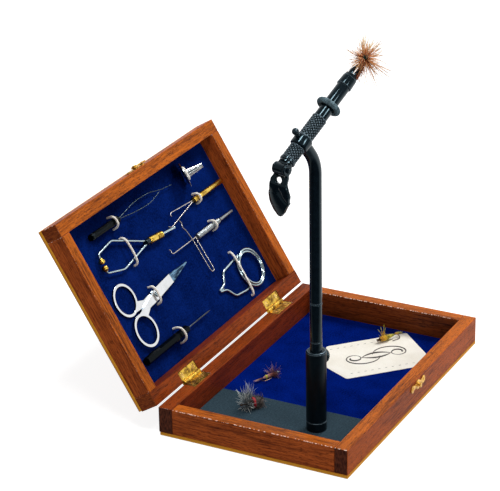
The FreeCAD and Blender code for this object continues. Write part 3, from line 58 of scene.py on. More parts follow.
class Nodes:
    """A tree of nodes. A socket takes a number, a colour or another node's output."""

    def __init__(self, tree):
        self.tree = tree

    def feed(self, socket, value):
        if isinstance(value, bpy.types.NodeSocket):
            self.tree.links.new(value, socket)
        else:
            socket.default_value = value

    def add(self, kind, *values, out=0, **settings):
        """Adds a node, feeds its sockets in order and returns an output."""
        node = self.tree.nodes.new("ShaderNode" + kind)
        for name, value in settings.items():
            if name.replace("_", " ") in node.inputs:
                self.feed(node.inputs[name.replace("_", " ")], value)
            else:
                setattr(node, name, value)
        for socket, value in zip(node.inputs, values):
            self.feed(socket, value)
        return node.outputs[out]

    def place(self, kind="Object"):
        return self.add("TexCoord", out=kind)

    def noise(self, place, scale, detail=4.0, rough=0.55):
        """Noise at one scale, or at a scale for each axis."""
        if isinstance(scale, tuple):
            place, scale = self.add("Mapping", Vector=place, Scale=scale), 1.0
        return self.add("TexNoise", Vector=place, Scale=scale, Detail=detail, Roughness=rough)

    def along(self, vector, direction):
        return self.add("VectorMath", vector, direction, operation="DOT_PRODUCT", out=1)

    def math(self, operation, first, second=0.5):
        return self.add("Math", first, second, operation=operation)

    def share(self, part, first, second):
        """The given part of the first value and the rest of the second."""
        first, second = self.math("MULTIPLY", first, part), self.math("MULTIPLY", second, 1 - part)
        return self.math("ADD", first, second)

    def ramp(self, factor, *stops):
        """A colour ramp through (position, colour) stops."""
        node = self.tree.nodes.new("ShaderNodeValToRGB")
        points = node.color_ramp.elements
        while len(points) < len(stops):
            points.new(0.5)
        for point, (position, colour) in zip(points, stops):
            point.position = position
            point.color = colour if isinstance(colour, tuple) else (colour, colour, colour, 1.0)
        self.feed(node.inputs[0], factor)
        return node.outputs[0]

    def mix(self, factor, first, second, blend="MIX"):
        node = self.tree.nodes.new("ShaderNodeMix")
        node.data_type = "RGBA"
        node.blend_type = blend
        for socket, value in ((0, factor), (6, first), (7, second)):
            self.feed(node.inputs[socket], value)
        return node.outputs[2]


class Finish(Nodes):
    """A surface finish. Its slot, the name of a material slot, is stored but not used."""

    def __init__(self, name, slot=None, **sockets):
        self.material = bpy.data.materials.new(name)
        self.material.use_nodes = True
        super().__init__(self.material.node_tree)
        self.shader = self.tree.nodes["Principled BSDF"]
        self.slot = slot
        self.set(**sockets)

    def set(self, **sockets):
        for name, value in sockets.items():
            self.feed(self.shader.inputs[name.replace("_", " ")], value)

    def polish(self, value, low, high):
        """Roughness that runs from low to high as the value rises."""
        self.set(Roughness=self.add("MapRange", value, To_Min=low, To_Max=high))

    def relief(self, height, depth, strength):
        self.set(Normal=self.add("Bump", Height=height, Distance=depth, Strength=strength))


def mahogany(name, turn, light, dark, sawn, inner=None):
    """Wood with its grain along X once Object coordinates are turned by the given angles."""
    wood = Finish(name, "rim_wood", Specular_IOR_Level=0.05)
    place, outward = wood.place(), wood.place("Normal")
    flat = wood.add("Mapping", Vector=place, Rotation=turn)
    figure = wood.noise(flat, (10, 70, 70), 3.0)
    fibre = wood.noise(flat, (40, 700, 700), 6.0, 0.7)
    pores = wood.noise(flat, (230, 1700, 1700), 2.0)
    facing = wood.add("Mapping", Vector=outward, Rotation=turn)
    rim = wood.math("POWER", wood.math("ABSOLUTE", wood.add("SeparateXYZ", facing, out=2)), 4.0)
    tone = wood.share(0.35, figure, fibre)
    colour = wood.ramp(tone, (0.36, dark), (0.53, light), (0.66, scaled(light, 1.15)))
    # The rims, the faces that lie along the rail's Z, are tinted more golden than the sides.
    colour = wood.mix(rim, colour, wood.mix(1.0, colour, (1.0, 1.14, 0.55, 1), "MULTIPLY"))
    if inner:
        # Inside the tray the inward faces carry painted shade, deepest low down by the lining and on the
        # right-hand wall; on the other walls it eases to a slight painted lightening near the top.
        level_place = wood.add("VectorMath", place, (1, 1, 0), operation="MULTIPLY")
        shaded_inside = wood.math("LESS_THAN", wood.along(level_place, outward), -0.02)
        height = wood.add("SeparateXYZ", place, out=2)
        depth = {"From_Min": 0.004, "From_Max": 0.034, "To_Min": inner[0], "To_Max": inner[1]}
        low = wood.add("MapRange", height, **depth)
        colour = wood.mix(shaded_inside, colour, wood.mix(1.0, colour, low, "MULTIPLY"))
    dashes = wood.ramp(pores, (0.36, 0.42), (0.46, 1.0))
    colour = wood.mix(1.0, colour, dashes, "MULTIPLY")
    end = wood.math("POWER", wood.math("ABSOLUTE", wood.add("SeparateXYZ", facing)), 6.0)
    rings = wood.noise(flat, (1, 1200, 260))
    colour = wood.mix(end, colour, wood.ramp(rings, (0.35, sawn[0]), (0.7, sawn[1])))
    # Pale specks along the outer top corner of the left-hand rims are a painted highlight: glints on the
    # rounded edge.
    corner = wood.math("GREATER_THAN", wood.along(outward, (-0.71, 0, 0.71)), 0.8)
    rim_glint_specks = wood.add("MapRange", wood.noise(place, 620.0, 1.0), From_Min=0.5, From_Max=0.58)
    colour = wood.mix(wood.math("MULTIPLY", corner, rim_glint_specks), colour, hue(246, 214, 196))
    wood.set(Base_Color=colour, Coat_Weight=0.05, Coat_Roughness=0.14)
    wood.polish(fibre, 0.36, 0.56)
    wood.relief(wood.math("MULTIPLY", fibre, dashes), 0.00035, 0.6)
    return wood


def linked(name, data):
    """A new object, linked to the scene at its origin."""
    piece = bpy.data.objects.new(name, data)
    bpy.context.scene.collection.objects.link(piece)
    return piece


def merged(name, node, flatten=True):
    """A copy of a CAD node's mesh with doubled corners joined and flat faces made whole."""
    form = bmesh.new()
    form.from_mesh(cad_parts[node].data)
    bmesh.ops.remove_doubles(form, verts=form.verts, dist=2e-6)
    if flatten:
        flat = math.radians(1.5)
        bmesh.ops.dissolve_limit(form, angle_limit=flat, verts=form.verts, edges=form.edges)
    mesh = bpy.data.meshes.new(name)
    form.to_mesh(mesh)
    form.free()
    return mesh


def eased(name, node, width, finish, body, steps=2):
    """A CAD node's faces, merged into one skin, with every sharp edge rounded off by width."""
    mesh = merged(name, node)
    piece = linked(name, mesh)
    edge = piece.modifiers.new("eased edges", "BEVEL")
    edge.width = width
    edge.segments = steps
    edge.limit_method = "ANGLE"
    edge.angle_limit = math.radians(32)
    edge.harden_normals = True
    mesh.shade_smooth()
    mesh.set_sharp_from_angle(angle=math.radians(32))
    mesh.materials.append(finish.material)
    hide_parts(node)
    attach(piece, body)
    return piece


lid_open = math.radians(121.6)
rim_light, rim_dark = hue(186, 90, 38), hue(96, 38, 16)
back_light, back_dark = hue(140, 56, 24), hue(74, 26, 11)
hinged_proud = 0.0006
for side, turn in (("front", 0), ("back", 0), ("left", 90), ("right", 90)):
    for part, body, lean in (("base", "case", 0.0), ("lid", "lid", lid_open)):
        light, dark = (back_light, back_dark) if side == "back" else (rim_light, rim_dark)
        # The base's inward faces take painted shade: factors by the lining and higher up.
        inner = None if part == "lid" else (0.3, 0.6) if side == "right" else (0.8, 1.1)
        sawn = (hue(44, 18, 12), hue(112, 58, 38)) if part == "base" else (rim_dark, hue(160, 80, 34))
        angles = (lean, 0, math.radians(turn))
        grain = mahogany(f"{part} {side} mahogany", angles, light, dark, sawn, inner)
        width = 0.0003 if side == "back" else 0.0006
        rail = eased(f"{part}_{side}_wood", f"{part}_{side}_rail", width, grain, body)
        if side == "back":
            # The hinged faces stand proud of the panels, so the open gap is a narrow one.
            out = Matrix.Rotation(-lean, 3, "X") @ Vector((0, 1, 0))
            face = max(corner.co.dot(out) for corner in rail.data.vertices)
            for corner in rail.data.vertices:
                if corner.co.dot(out) > face - 0.00001:
                    corner.co += out * hinged_proud

# ------------------------------------------------------------------ plywood panels
# Thin three-ply panels are glued under the base and on top of the lid. Their faces are veneered
# like the rails, and their sawn edges show as a line of amber and darker plies.

ply_thick, hinge_line = 0.003, (0, 0.0812, 0.0248)
ply_stops = (
    (0.0, hue(214, 136, 36)), (0.2, hue(250, 184, 60)), (0.42, hue(242, 168, 48)),
    (0.5, hue(196, 120, 34)), (0.6, hue(246, 174, 54)), (0.95, hue(200, 124, 36)),
)


def plywood(name, lean, low):
    """Plies stacked along Z once the panel lies flat; only the outer faces carry the veneer."""
    ply = Finish(name, "plywood", Specular_IOR_Level=0.1)
    flat = ply.add("Mapping", Vector=ply.place(), Rotation=(lean, 0, 0))
    height = ply.add("SeparateXYZ", flat, out=2)
    level = ply.math("DIVIDE", ply.math("SUBTRACT", height, low), ply_thick)
    cells = ply.noise(flat, 1500.0, 2.0)
    band = ply.math("ADD", level, ply.math("MULTIPLY", ply.math("SUBTRACT", cells, 0.5), 0.22))
    grain = ply.noise(flat, (20, 420, 420), 6.0)
    veneer = ply.ramp(grain, (0.3, hue(110, 50, 20)), (0.7, hue(190, 100, 42)))
    facing = ply.add("Mapping", Vector=ply.place("Normal"), Rotation=(lean, 0, 0))
    upright = ply.math("POWER", ply.math("ABSOLUTE", ply.add("SeparateXYZ", facing, out=2)), 8.0)
    ply.set(Base_Color=ply.mix(upright, ply.ramp(band, *ply_stops), veneer))
    ply.polish(grain, 0.4, 0.6)
    ply.relief(cells, 0.0002, 0.5)
    return ply


eased("base_plywood", "base_panel", 0.0005, plywood("base plywood", 0.0, 0.0), "case")
# The lid panel lies between 16.2 and 19.2 mm above the hinge axis before the lid is swung.
lid_low = (Matrix.Rotation(lid_open, 3, "X") @ Vector(hinge_line)).z + 0.0162 - 0.0006
eased("lid_plywood", "lid_panel", 0.0005, plywood("lid plywood", lid_open, lid_low), "lid")

# ------------------------------------------------------------------ felt and woven lining
# Royal blue wool felt lines the tray and navy felt lines the lid. The left third of the tray,
# under the vise, has a strip of slate grey woven cloth glued on instead.


def felt(name, deep, bright):
    """Short matted fibres: fine speckle over soft, wide patches of lighter nap."""
    wool = Finish(name, Roughness=1.0, Specular_IOR_Level=0.0)
    place = wool.place()
    fibres = wool.noise(place, 800.0, 5.0, 0.75)
    tone = wool.share(0.7, fibres, wool.noise(place, 45.0, 3.0))
    wool.set(Base_Color=wool.ramp(tone, (0.35, deep), (0.62, bright)))
    wool.relief(fibres, 0.0006, 0.8)
    return wool


def dress(node, finish):
    """Puts a finish on a CAD node that keeps its own shape."""
    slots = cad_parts[node].material_slots
    if not slots:
        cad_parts[node].data.materials.append(finish.material)
    for holder in slots:
        holder.material = finish.material


dress("base_felt", felt("royal blue felt", hue(0, 8, 54), hue(3, 31, 122)))
dress("lid_felt", felt("navy felt", hue(0, 9, 46), hue(9, 36, 108)))

cloth = Finish("slate woven cloth", Roughness=0.95, Specular_IOR_Level=0.08)
cloth_place = cloth.place()
bands = {"Vector": cloth_place, "Scale": 330.0, "Distortion": 1.5, "wave_type": "BANDS", "out": 1}
warp, weft = (cloth.add("TexWave", bands_direction=way, **bands) for way in "XY")
weave = cloth.math("MULTIPLY", warp, weft)
shade = cloth.share(0.55, weave, cloth.noise(cloth_place, 700.0, 3.0))
cloth.set(Base_Color=cloth.ramp(shade, (0.15, hue(20, 32, 40)), (0.6, hue(66, 88, 100))))
cloth.relief(weave, 0.0003, 0.8)
dress("vise_mat", cloth)

# ------------------------------------------------------------------ hinges
# Two brass butt hinges join the rims. Each leaf lies in a mortise, held by two countersunk screws,
# and the knuckles of both leaves share one pin. The brass carries a cloudy tarnish.


def brass(name, bright, dull, rough):
    """Brass with cloudy tarnish and fine scratches."""
    metal = Finish(name, "brass", Metallic=1.0)
    place = metal.place()
    cloud = metal.noise(place, 150.0, 4.0, 0.6)
    metal.set(Base_Color=metal.ramp(cloud, (0.36, dull), (0.56, bright)))
    metal.polish(cloud, rough + 0.16, rough)
    metal.relief(metal.noise(place, (3000, 260, 900), 3.0), 0.00003, 0.5)
    return metal


hinge_brass = brass("hinge brass", hue(240, 194, 76), hue(104, 64, 10), 0.16)
eased("base_leaves", "hinge_base_leaves", 0.00018, hinge_brass, "case")
eased("lid_leaves", "hinge_lid_leaves", 0.00018, hinge_brass, "lid")
screw_brass = brass("screw brass", hue(250, 212, 120), hue(170, 124, 50), 0.16)
eased("base_hinge_screws", "hinge_base_screws", 0.00012, screw_brass, "case")
eased("lid_hinge_screws", "hinge_lid_screws", 0.00012, screw_brass, "lid")

# ------------------------------------------------------------------ clasp
# A stamped brass plate with a headed stud is nailed to the front of the base and its twin to the
# lid, where a swinging hook turns on the stud.

clasp_brass = brass("clasp brass", hue(236, 186, 84), hue(156, 106, 38), 0.24)
for name, node, body in (
    ("keeper", "clasp_keeper", "case"),
    ("keeper_nails", "clasp_keeper_nails", "case"),
    ("strike", "clasp_lid_plate", "lid"),
    ("strike_nails", "clasp_lid_nails", "lid"),
    ("hook_latch", "clasp_latch", "latch"),
):
    eased(name, node, 0.0002, clasp_brass, body)

# ------------------------------------------------------------------ vise foot and socket
# A round steel foot is bolted through the base and carries a bored socket tube. Both are turned
# and blackened to a gloss. Along their edges the black is rubbed through to a pale steel tone,
# which is partly real wear and partly a painted highlight.


def spin(degrees, axis):
    return Matrix.Rotation(math.radians(degrees), 4, axis)


def shift(x, y, z):
    """A move given in millimetres."""
    return Matrix.Translation((x / 1000, y / 1000, z / 1000))


def placed(points, stand, unit=0.001):
    """Points on a stand, a 4 by 4 matrix, as metres in the model's frame. The points are in
    millimetres unless another unit is given."""
    turn = np.array(stand)
    return points * unit @ turn[:3, :3].T + turn[:3, 3]


def rounded(line, ease, steps=5):
    """The line with each inner corner replaced by a parabola that leaves and meets its two runs
    at `ease` from the corner, and how near each point is to such a corner, from 0 to 1."""
    line = np.asarray(line, float)
    corner = line[1:-1]
    back, ahead = line[:-2] - corner, line[2:] - corner
    back_run = np.linalg.norm(back, axis=1, keepdims=True)
    ahead_run = np.linalg.norm(ahead, axis=1, keepdims=True)
    trim = np.minimum(ease, np.minimum(back_run, ahead_run) * 0.45)
    start, end = corner + back / back_run * trim, corner + ahead / ahead_run * trim
    t = np.linspace(0, 1, steps)[None, :, None]
    bend = (1 - t) ** 2 * start[:, None] + 2 * t * (1 - t) * corner[:, None] + t**2 * end[:, None]
    near = np.broadcast_to(np.sin(math.pi * t[..., 0]), bend.shape[:2])
    smooth = np.concatenate([line[:1], bend.reshape(-1, line.shape[1]), line[-1:]])
    return smooth, np.concatenate([[0], near.ravel(), [0]])


def lathe(stand, profile, ease=0.25, sides=64, wear_and_glint=0.0, steps=0, ribs=None):
    """Turns a profile of (place along X, radius) round the stand's X axis: step s and angle a
    give (x(s), r(s) cos a, r(s) sin a). ribs(x, a) scales the radius; steps evens the profile out."""
    line, near = rounded(profile, ease)
    if steps:
        run = np.concatenate([[0], np.cumsum(np.linalg.norm(np.diff(line, axis=0), axis=1))])
        even = np.linspace(0, run[-1], steps)
        near = np.interp(even, run, near)
        line = np.stack([np.interp(even, run, line[:, 0]), np.interp(even, run, line[:, 1])], axis=1)
    angle = np.linspace(0, 2 * math.pi, sides, endpoint=False)[None, :]
    x, radius = line[:, :1], line[:, 1:]
    if ribs:
        radius = radius * ribs(x, angle)
    circle = np.broadcast_arrays(x, radius * np.cos(angle), radius * np.sin(angle))
    return placed(np.stack(circle, axis=2), stand), np.repeat(near[:, None] * wear_and_glint, sides, axis=1)


def skin(name, sheets, finish, body, *nodes, crease=38.0, slot=None):
    """One piece from sheets of points, or (points, edge amounts): rows and columns are joined by quads,
    and the last column joins the first. The "map" UV holds the share across and along,
    and the "edge" attribute the edge amounts, a pale rubbed tone that is partly wear and partly a
    painted highlight. A sheet may hold many like forms along extra axes."""
    corners, quads, shares, worn_and_glint, first = [], [], [], [], 0
    for sheet in sheets:
        points, wear_and_glint = sheet if isinstance(sheet, tuple) else (sheet, None)
        rows, columns = points.shape[-3:-1]
        forms = points.size // (rows * columns * 3)
        form, along, across = np.indices((forms, rows - 1, columns)).reshape(3, -1)
        start = first + form * rows * columns
        beyond = (across + 1) % columns
        steps = ((along, across), (along, beyond), (along + 1, beyond), (along + 1, across))
        quads.append(np.stack([start + row * columns + column for row, column in steps], axis=1))
        u = np.stack([across, across + 1, across + 1, across], axis=1) / columns
        v = np.stack([along, along, along + 1, along + 1], axis=1) / (rows - 1)
        shares.append(np.stack([u, v], axis=2).reshape(-1, 2))
        corners.append(points.reshape(-1, 3))
        worn_and_glint.append(np.zeros(points.size // 3) if wear_and_glint is None else wear_and_glint.ravel())
        first += points.size // 3
    mesh = bpy.data.meshes.new(name)
    mesh.from_pydata(np.concatenate(corners).tolist(), [], np.concatenate(quads).tolist())
    mesh.uv_layers.new(name="map").data.foreach_set("uv", np.concatenate(shares).ravel())
    edge = mesh.attributes.new("edge", "FLOAT", "POINT")
    edge.data.foreach_set("value", np.concatenate(worn_and_glint))
    tidy = bmesh.new()
    tidy.from_mesh(mesh)
    bmesh.ops.remove_doubles(tidy, verts=tidy.verts, dist=1e-6)
    bmesh.ops.recalc_face_normals(tidy, faces=tidy.faces)
    tidy.to_mesh(mesh)
    tidy.free()
    mesh.shade_smooth()
    mesh.set_sharp_from_angle(angle=math.radians(crease))
    mesh.materials.append(finish.material)
    piece = linked(name, mesh)
    if nodes:
        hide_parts(*nodes)
    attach(piece, body)


def blackened(name, tone, rough, gloss, shine=1.0, slot="black_enamel"):
    """Black steel with faint cloudy unevenness; the "edge" attribute rubs it through to a pale steel tone,
    partly real wear and partly a painted highlight, and with shine below 1 that tone is mostly painted colour
    rather than metal.
    """
    steel = Finish(name, slot, Specular_IOR_Level=gloss, Specular_Tint=hue(200, 240, 255))
    place = steel.place()
    cloud = steel.noise(place, 260.0, 4.0)
    dust = steel.noise(place, 2600.0, 2.0)
    rub_and_glint = steel.add("Attribute", attribute_name="edge", attribute_type="GEOMETRY", out=2)
    rub_and_glint = steel.math("MULTIPLY", rub_and_glint, steel.add("MapRange", dust, From_Min=0.35, From_Max=0.6))
    black = steel.ramp(cloud, (0.32, scaled(tone, 0.55)), (0.7, tone))
    steel.set(
        Base_Color=steel.mix(rub_and_glint, black, hue(150, 172, 186)), Metallic=steel.math("MULTIPLY", rub_and_glint, shine)
    )
    steel.polish(cloud, rough, rough + 0.08)
    steel.relief(dust, 0.00002, 0.4)
    return steel


gloss_black = blackened("gloss black steel", hue(13, 24, 32), 0.04, 0.4)
post_stand = shift(-72, -28, 4.2) @ spin(-18, "Z")
upright = post_stand @ spin(-90, "Y")
socket_side, foot_top, socket_rim, rod_bore = 8.0, 7.5, 67.3, 4.8
foot_line = [(0, 0), (0, socket_side), (foot_top, socket_side), (foot_top, 0)]
satin_black = blackened("satin black steel", hue(10, 20, 27), 0.26, 0.22)
skin("foot", [lathe(upright, foot_line, 0.3, wear_and_glint=0.8)], satin_black, "case", "vise_foot")
socket_line = [
    (foot_top + 0.1, 0),
    (foot_top + 0.1, socket_side - 0.4),
    (foot_top + 0.6, socket_side),
    (socket_rim - 1, socket_side),
    (socket_rim, socket_side - 1),
    (socket_rim, rod_bore),
    (socket_rim - 9, rod_bore),
    (socket_rim - 9, 0),
]
socket = lathe(upright, socket_line, 0.22, wear_and_glint=0.9)
skin("socket", [socket], satin_black, "case", "vise_socket")

# ------------------------------------------------------------------ socket thumbscrew
# A short knurled knob on a screw goes through the socket wall and locks the rod at its height.

knob_stand = post_stand @ shift(0, 0, 57) @ spin(28, "Z")
knob_side, knob_in, knob_out, knob_edge = 7.2, 10.4, 15.0, 1.1
knob_line = [
    (4.9, 0), (4.9, 2), (8.3, 2), (8.3, 3.4),
    (knob_in, 3.4),
    (knob_in, knob_side - knob_edge),
    (knob_in + knob_edge, knob_side),
    (knob_out - knob_edge, knob_side),
    (knob_out, knob_side - knob_edge),
    (knob_out, 0),
]


def thumb_ribs(x, angle):
    """Thirty straight ribs round the rim, each a raised half wave, and none on the faces."""
    rim = (x > knob_in + 0.2) & (x < knob_out - 0.2)
    return 1 - 0.035 * rim * np.abs(np.cos(15 * angle))


knob = lathe(knob_stand, knob_line, 0.25, 240, 0.3, 90, thumb_ribs)
skin("thumbscrew_knob", [knob], gloss_black, "thumbscrew", "socket_thumbscrew")

# ------------------------------------------------------------------ vise post
# The post is a 3/8 inch black rod in three lengths that screw together at fine ring joints. The
# top length is bent back and opens into the eye that the rotary head turns in.


def tube(stand, path, radius, up=(0, 0, 1), sides=14, wear_and_glint=None):
    """Carries a circle along a path of points: at each step the circle lies square to the path,
    one axis across `up` and the other completing the square. Both ends are closed."""
    ahead = np.gradient(path, axis=0)
    ahead /= np.linalg.norm(ahead, axis=1, keepdims=True)
    side = np.cross(ahead, up)
    side /= np.linalg.norm(side, axis=1, keepdims=True)
    over = np.cross(side, ahead)
    radius = np.broadcast_to(np.asarray(radius, float), len(path))
    path, side, over = (np.concatenate([a[:1], a, a[-1:]])[:, None] for a in (path, side, over))
    radius = np.concatenate([[0], radius, [0]])[:, None, None]
    angle = np.linspace(0, 2 * math.pi, sides, endpoint=False)[None, :, None]
    points = placed(path + radius * (np.cos(angle) * side + np.sin(angle) * over), stand)
    if wear_and_glint is None:
        return points
    return points, np.repeat(np.concatenate([[0], wear_and_glint, [0]])[:, None], sides, axis=1)


rod_side, chamfer = 4.75, 0.5
joints = (24.0, 75.4, 107.3)


def rod_length(low, high):
    """A plain turned length with a small chamfer at both ends."""
    line = [(low, 0), (low, rod_side - chamfer), (low + chamfer, rod_side)]
    line += [(high - chamfer, rod_side), (high, rod_side - chamfer), (high, 0)]
    return lathe(upright, line, 0.15, wear_and_glint=0.75)


lower_rod = rod_length(joints[0], joints[1] - 0.1)
middle_rod = rod_length(joints[1], joints[2] - 0.1)
skin("lower_rod", [lower_rod], gloss_black, "post_foot", "post_lower_rod")
skin("middle_rod", [middle_rod], gloss_black, "post", "post_middle_rod")

lean, bend, eye_height, eye_run = math.radians(35), 30.0, 241.2, 14.6
eye_back = bend * (1 - math.cos(lean)) + eye_run * math.sin(lean)
bend_start = eye_height - bend * math.sin(lean) - eye_run * math.cos(lean)
swing = np.linspace(0, lean, 24)
run_up = (0, 0.1, chamfer, chamfer * 2, bend_start - joints[2])
straight = np.array([(0, 0, joints[2] + step) for step in run_up])
arc = np.stack([bend * (np.cos(swing) - 1), 0 * swing, bend_start + bend * np.sin(swing)], axis=1)
post_path = np.concatenate([straight, arc[1:], [(-eye_back, 0, eye_height)]])
post_side = np.full(len(post_path), rod_side)
post_side[:2] = rod_side - chamfer
post_wear_and_glint = np.zeros(len(post_path))
# The rod's bottom end takes the pale rubbed tone: partly wear, partly a painted highlight.
post_wear_and_glint[:3] = 0.5
head_stand = post_stand @ shift(-eye_back, 0, eye_height) @ Matrix.Rotation(-lean, 4, "Y")
eye_behind, eye_ahead, eye_side, eye_bore = 5.3, 3.4, 7.2, 4.45
eye_line = [(0, eye_bore), (-eye_behind, eye_bore), (-eye_behind, eye_side)]
eye_line += [(eye_ahead, eye_side), (eye_ahead, eye_bore), (0, eye_bore)]
eye = lathe(head_stand, eye_line, 1.8)
bent_rod = tube(post_stand, post_path, post_side, (0, 1, 0), 64, post_wear_and_glint)
skin("upper_rod", [bent_rod, eye], gloss_black, "post", "post_upper_rod")
across_head = head_stand @ spin(-90, "Y")
lock_line = [(4.5, 0), (4.5, 1.5), (7.4, 1.5), (7.4, 2.2), (9.4, 2.2), (9.4, 1.9), (10.4, 1.9)]
ball = np.linspace(-0.9, math.pi / 2, 12)
lock_line += list(zip(12.0 + 2.7 * np.sin(ball), np.maximum(2.7 * np.cos(ball), 0)))
lock = lathe(across_head, lock_line, 0.15, 32, 0.3)
skin("lock_screw", [lock], gloss_black, "lock_screw", "head_lock_screw")

# ------------------------------------------------------------------ rotary head
# A black barrel turns in the eye between two diamond-knurled sleeves. The collet cap and its
# slit jaws are at the front end, and a lock ring and the cam block are screwed on behind.

nose_side, nose_start, cap_start, sleeve_side, barrel_side = 5.2, 22.8, 53.5, 5.9, 4.4
barrel_line = [(-19.7, 0), (-19.7, barrel_side), (nose_start, barrel_side), (nose_start, nose_side)]
barrel_line += [(cap_start, nose_side), (cap_start, 0)]
barrel = lathe(head_stand, barrel_line, 0.3, wear_and_glint=0.25)
skin("barrel", [barrel], gloss_black, "head", "head_barrel")
cap_shape = ((0, 0), (0, 5.5), (0.5, 6.0), (8.2, 5.6), (11, 4.8), (11, 4.0), (8, 3.6), (8, 0))
cap_line = [(cap_start + step, radius) for step, radius in cap_shape]
cap = lathe(head_stand, cap_line, 0.3, wear_and_glint=0.55)
skin("cap", [cap], gloss_black, "head", "collet_cap")
lock_ring_line = [(-19.65, 0), (-19.65, 5.9), (-19.2, 6.2), (-17.7, 6.2), (-17.25, 5.9), (-17.25, 0)]
lock_ring = lathe(head_stand, lock_ring_line, 0.2, wear_and_glint=0.6)
skin("lock_ring", [lock_ring], gloss_black, "head", "rear_lock_ring")

# With shine 0.3 the rubbed tone on the knurl is mostly a pale painted colour.
knurl_black = blackened("knurled black steel", hue(12, 18, 24), 0.3, 0.45, 0.3)
for side_name, low, high in (("front", 3.6, 22.7), ("rear", -17.1, -5.6)):

    def diamonds(x, angle):
        """Diamond knurl: two trains of slanting grooves, each a rectified sine, cross each other,
        and the knurl fades out between 0.9 and 0.5 mm from both ends of the sleeve."""
        slope = 2 * math.pi * x / 4.8
        grooves = np.minimum(np.abs(np.sin(6 * angle + slope)), np.abs(np.sin(6 * angle - slope)))
        ends = np.clip((np.minimum(x - low, high - x) - 0.5) / 0.4, 0, 1)
        return 1 - 0.11 * ends * (1 - grooves) ** 1.5

    sleeve_line = [(low, 4.5), (low, sleeve_side), (high, sleeve_side), (high, 4.5)]
    steps = int((high - low + 3) * 9)
    sleeve = lathe(head_stand, sleeve_line, 0.4, 240, 0, steps, diamonds)[0]
    # The knurl's crests take the pale rubbed tone: partly wear, partly a painted highlight on the peaks.
    from_axis = np.linalg.norm(placed(sleeve, head_stand.inverted(), 1)[..., 1:], axis=2) * 1000
    sleeve = (sleeve, np.clip((from_axis - sleeve_side * 0.965) / (sleeve_side * 0.04), 0, 1) * 0.9)
    body = f"{side_name}_sleeve"
    skin(body, [sleeve], knurl_black, body, f"{side_name}_knurled_sleeve", crease=75)

for piece_name, node_name, body_name, width in (
    ("jaws", "collet_jaws", "jaws", 0.0002),
    ("cam_body", "cam_block", "head", 0.0005),
    ("cam_cross_pin", "cam_pin", "head", 0.0004),
):
    eased(piece_name, node_name, width, gloss_black, body_name, 3)
dress("draw_rod", gloss_black)
dress("vise_foot_screw", gloss_black)

# ------------------------------------------------------------------ cam lever
# The lever is forged: a fork round the cam pin, a hole to hang thread on, and a leaf-shaped
# paddle, dished for the thumb, with a soft ridge from the hole to one edge.

lever_stand = head_stand @ shift(-26.1, 0, 0) @ Matrix.Rotation(math.radians(90) + lean, 4, "Y")
forged = linked("forging", merged("forging", "cam_lever", False))
melt = forged.modifiers.new("even skin", "REMESH")
melt.mode, melt.voxel_size = "VOXEL", 0.00038
relax = forged.modifiers.new("rounding", "SMOOTH")
relax.factor, relax.iterations = 0.5, 14
evened = bpy.data.meshes.new_from_object(forged.evaluated_get(bpy.context.evaluated_depsgraph_get()))
bpy.data.objects.remove(forged)
flat = np.empty(len(evened.vertices) * 3)
evened.vertices.foreach_get("co", flat)
leaf = placed(flat.reshape(-1, 3), lever_stand.inverted(), 1)
# The paddle's edges rise towards the thumb by the square of their distance from the middle, and
# a fold runs along a slanting line; both fade in from nothing at the neck.
neck_end, paddle_half = 0.011, 0.0103
paddle = np.clip((leaf[:, 0] - neck_end) / 0.006, 0, 1) ** 1.5
cup = 0.0014 * (leaf[:, 1] / paddle_half) ** 2
fold_line = leaf[:, 1] + 0.011 * ((leaf[:, 0] - neck_end) / 0.015) ** 2
fold = 0.0012 * np.exp(-np.abs(fold_line) / 0.0022)
bent = np.interp(leaf[:, 0], (0.0038, 0.0117, 0.0183, 0.0278, 0.0366), (0, -0.0018, -0.004, -0.0038, -0.001))
arched = -0.0041 * np.sin(math.pi * np.clip((leaf[:, 0] - 0.0038) / 0.0375, 0, 1))
leaf[:, 2] += paddle * (cup + fold) + arched - bent
# The neck swells round the hole, which the forging leaves off centre and wide.
neck = np.exp(-(((leaf[:, 0] - 0.0092) / 0.004) ** 2))
leaf[:, 1] += neck * (0.3 * leaf[:, 1] + 0.0011)
evened.vertices.foreach_set("co", placed(leaf, lever_stand, 1).ravel())
evened.update()
evened.shade_smooth()
evened.materials.clear()
evened.materials.append(gloss_black.material)
lever = linked("lever", evened)
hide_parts("cam_lever")
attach(lever, "lever")

# ------------------------------------------------------------------ material ring
# A thick rubber ring slips over the barrel to hold loose thread and feathers. The rubber is
# grey, worn matt and slightly pitted.

rubber = Finish("grey rubber", "grey_rubber", Specular_IOR_Level=0.25)
rubber_place = rubber.place()
pits = rubber.noise(rubber_place, 1100.0, 4.0, 0.7)
bloom = rubber.noise(rubber_place, 220.0, 3.0)
rubber_tone = rubber.share(0.6, pits, bloom)
rubber.set(Base_Color=rubber.ramp(rubber_tone, (0.38, hue(22, 36, 44)), (0.6, hue(112, 138, 148))))
rubber.polish(pits, 0.6, 0.85)
rubber.relief(pits, 0.0003, 0.8)
ring_at, ring_middle, ring_bead = 34.2, 7.75, 2.2
round_bead = np.linspace(0, 2 * math.pi, 33)
bead_line = np.stack(
    [ring_at + ring_bead * np.sin(round_bead), ring_middle - ring_bead * np.cos(round_bead)], axis=1
)


def uneven(x, angle):
    """The ring sits a little oval: its radius swells and narrows twice a turn by 1.5 percent."""
    return 1 + 0.015 * np.cos(2 * angle + 0.6)


skin("rubber_ring", [lathe(head_stand, bead_line, 0.01, 72, ribs=uneven)], rubber, "ring", "material_ring")

# ------------------------------------------------------------------ scissors
# Two forged blades turn on a slotted screw. Rings, shanks and blades are one piece of bright
# plated steel each, and the ends of the blades are ground to a thin bevel, whose glassy look is a
# painted reflection; their rounded edges carry painted shade.

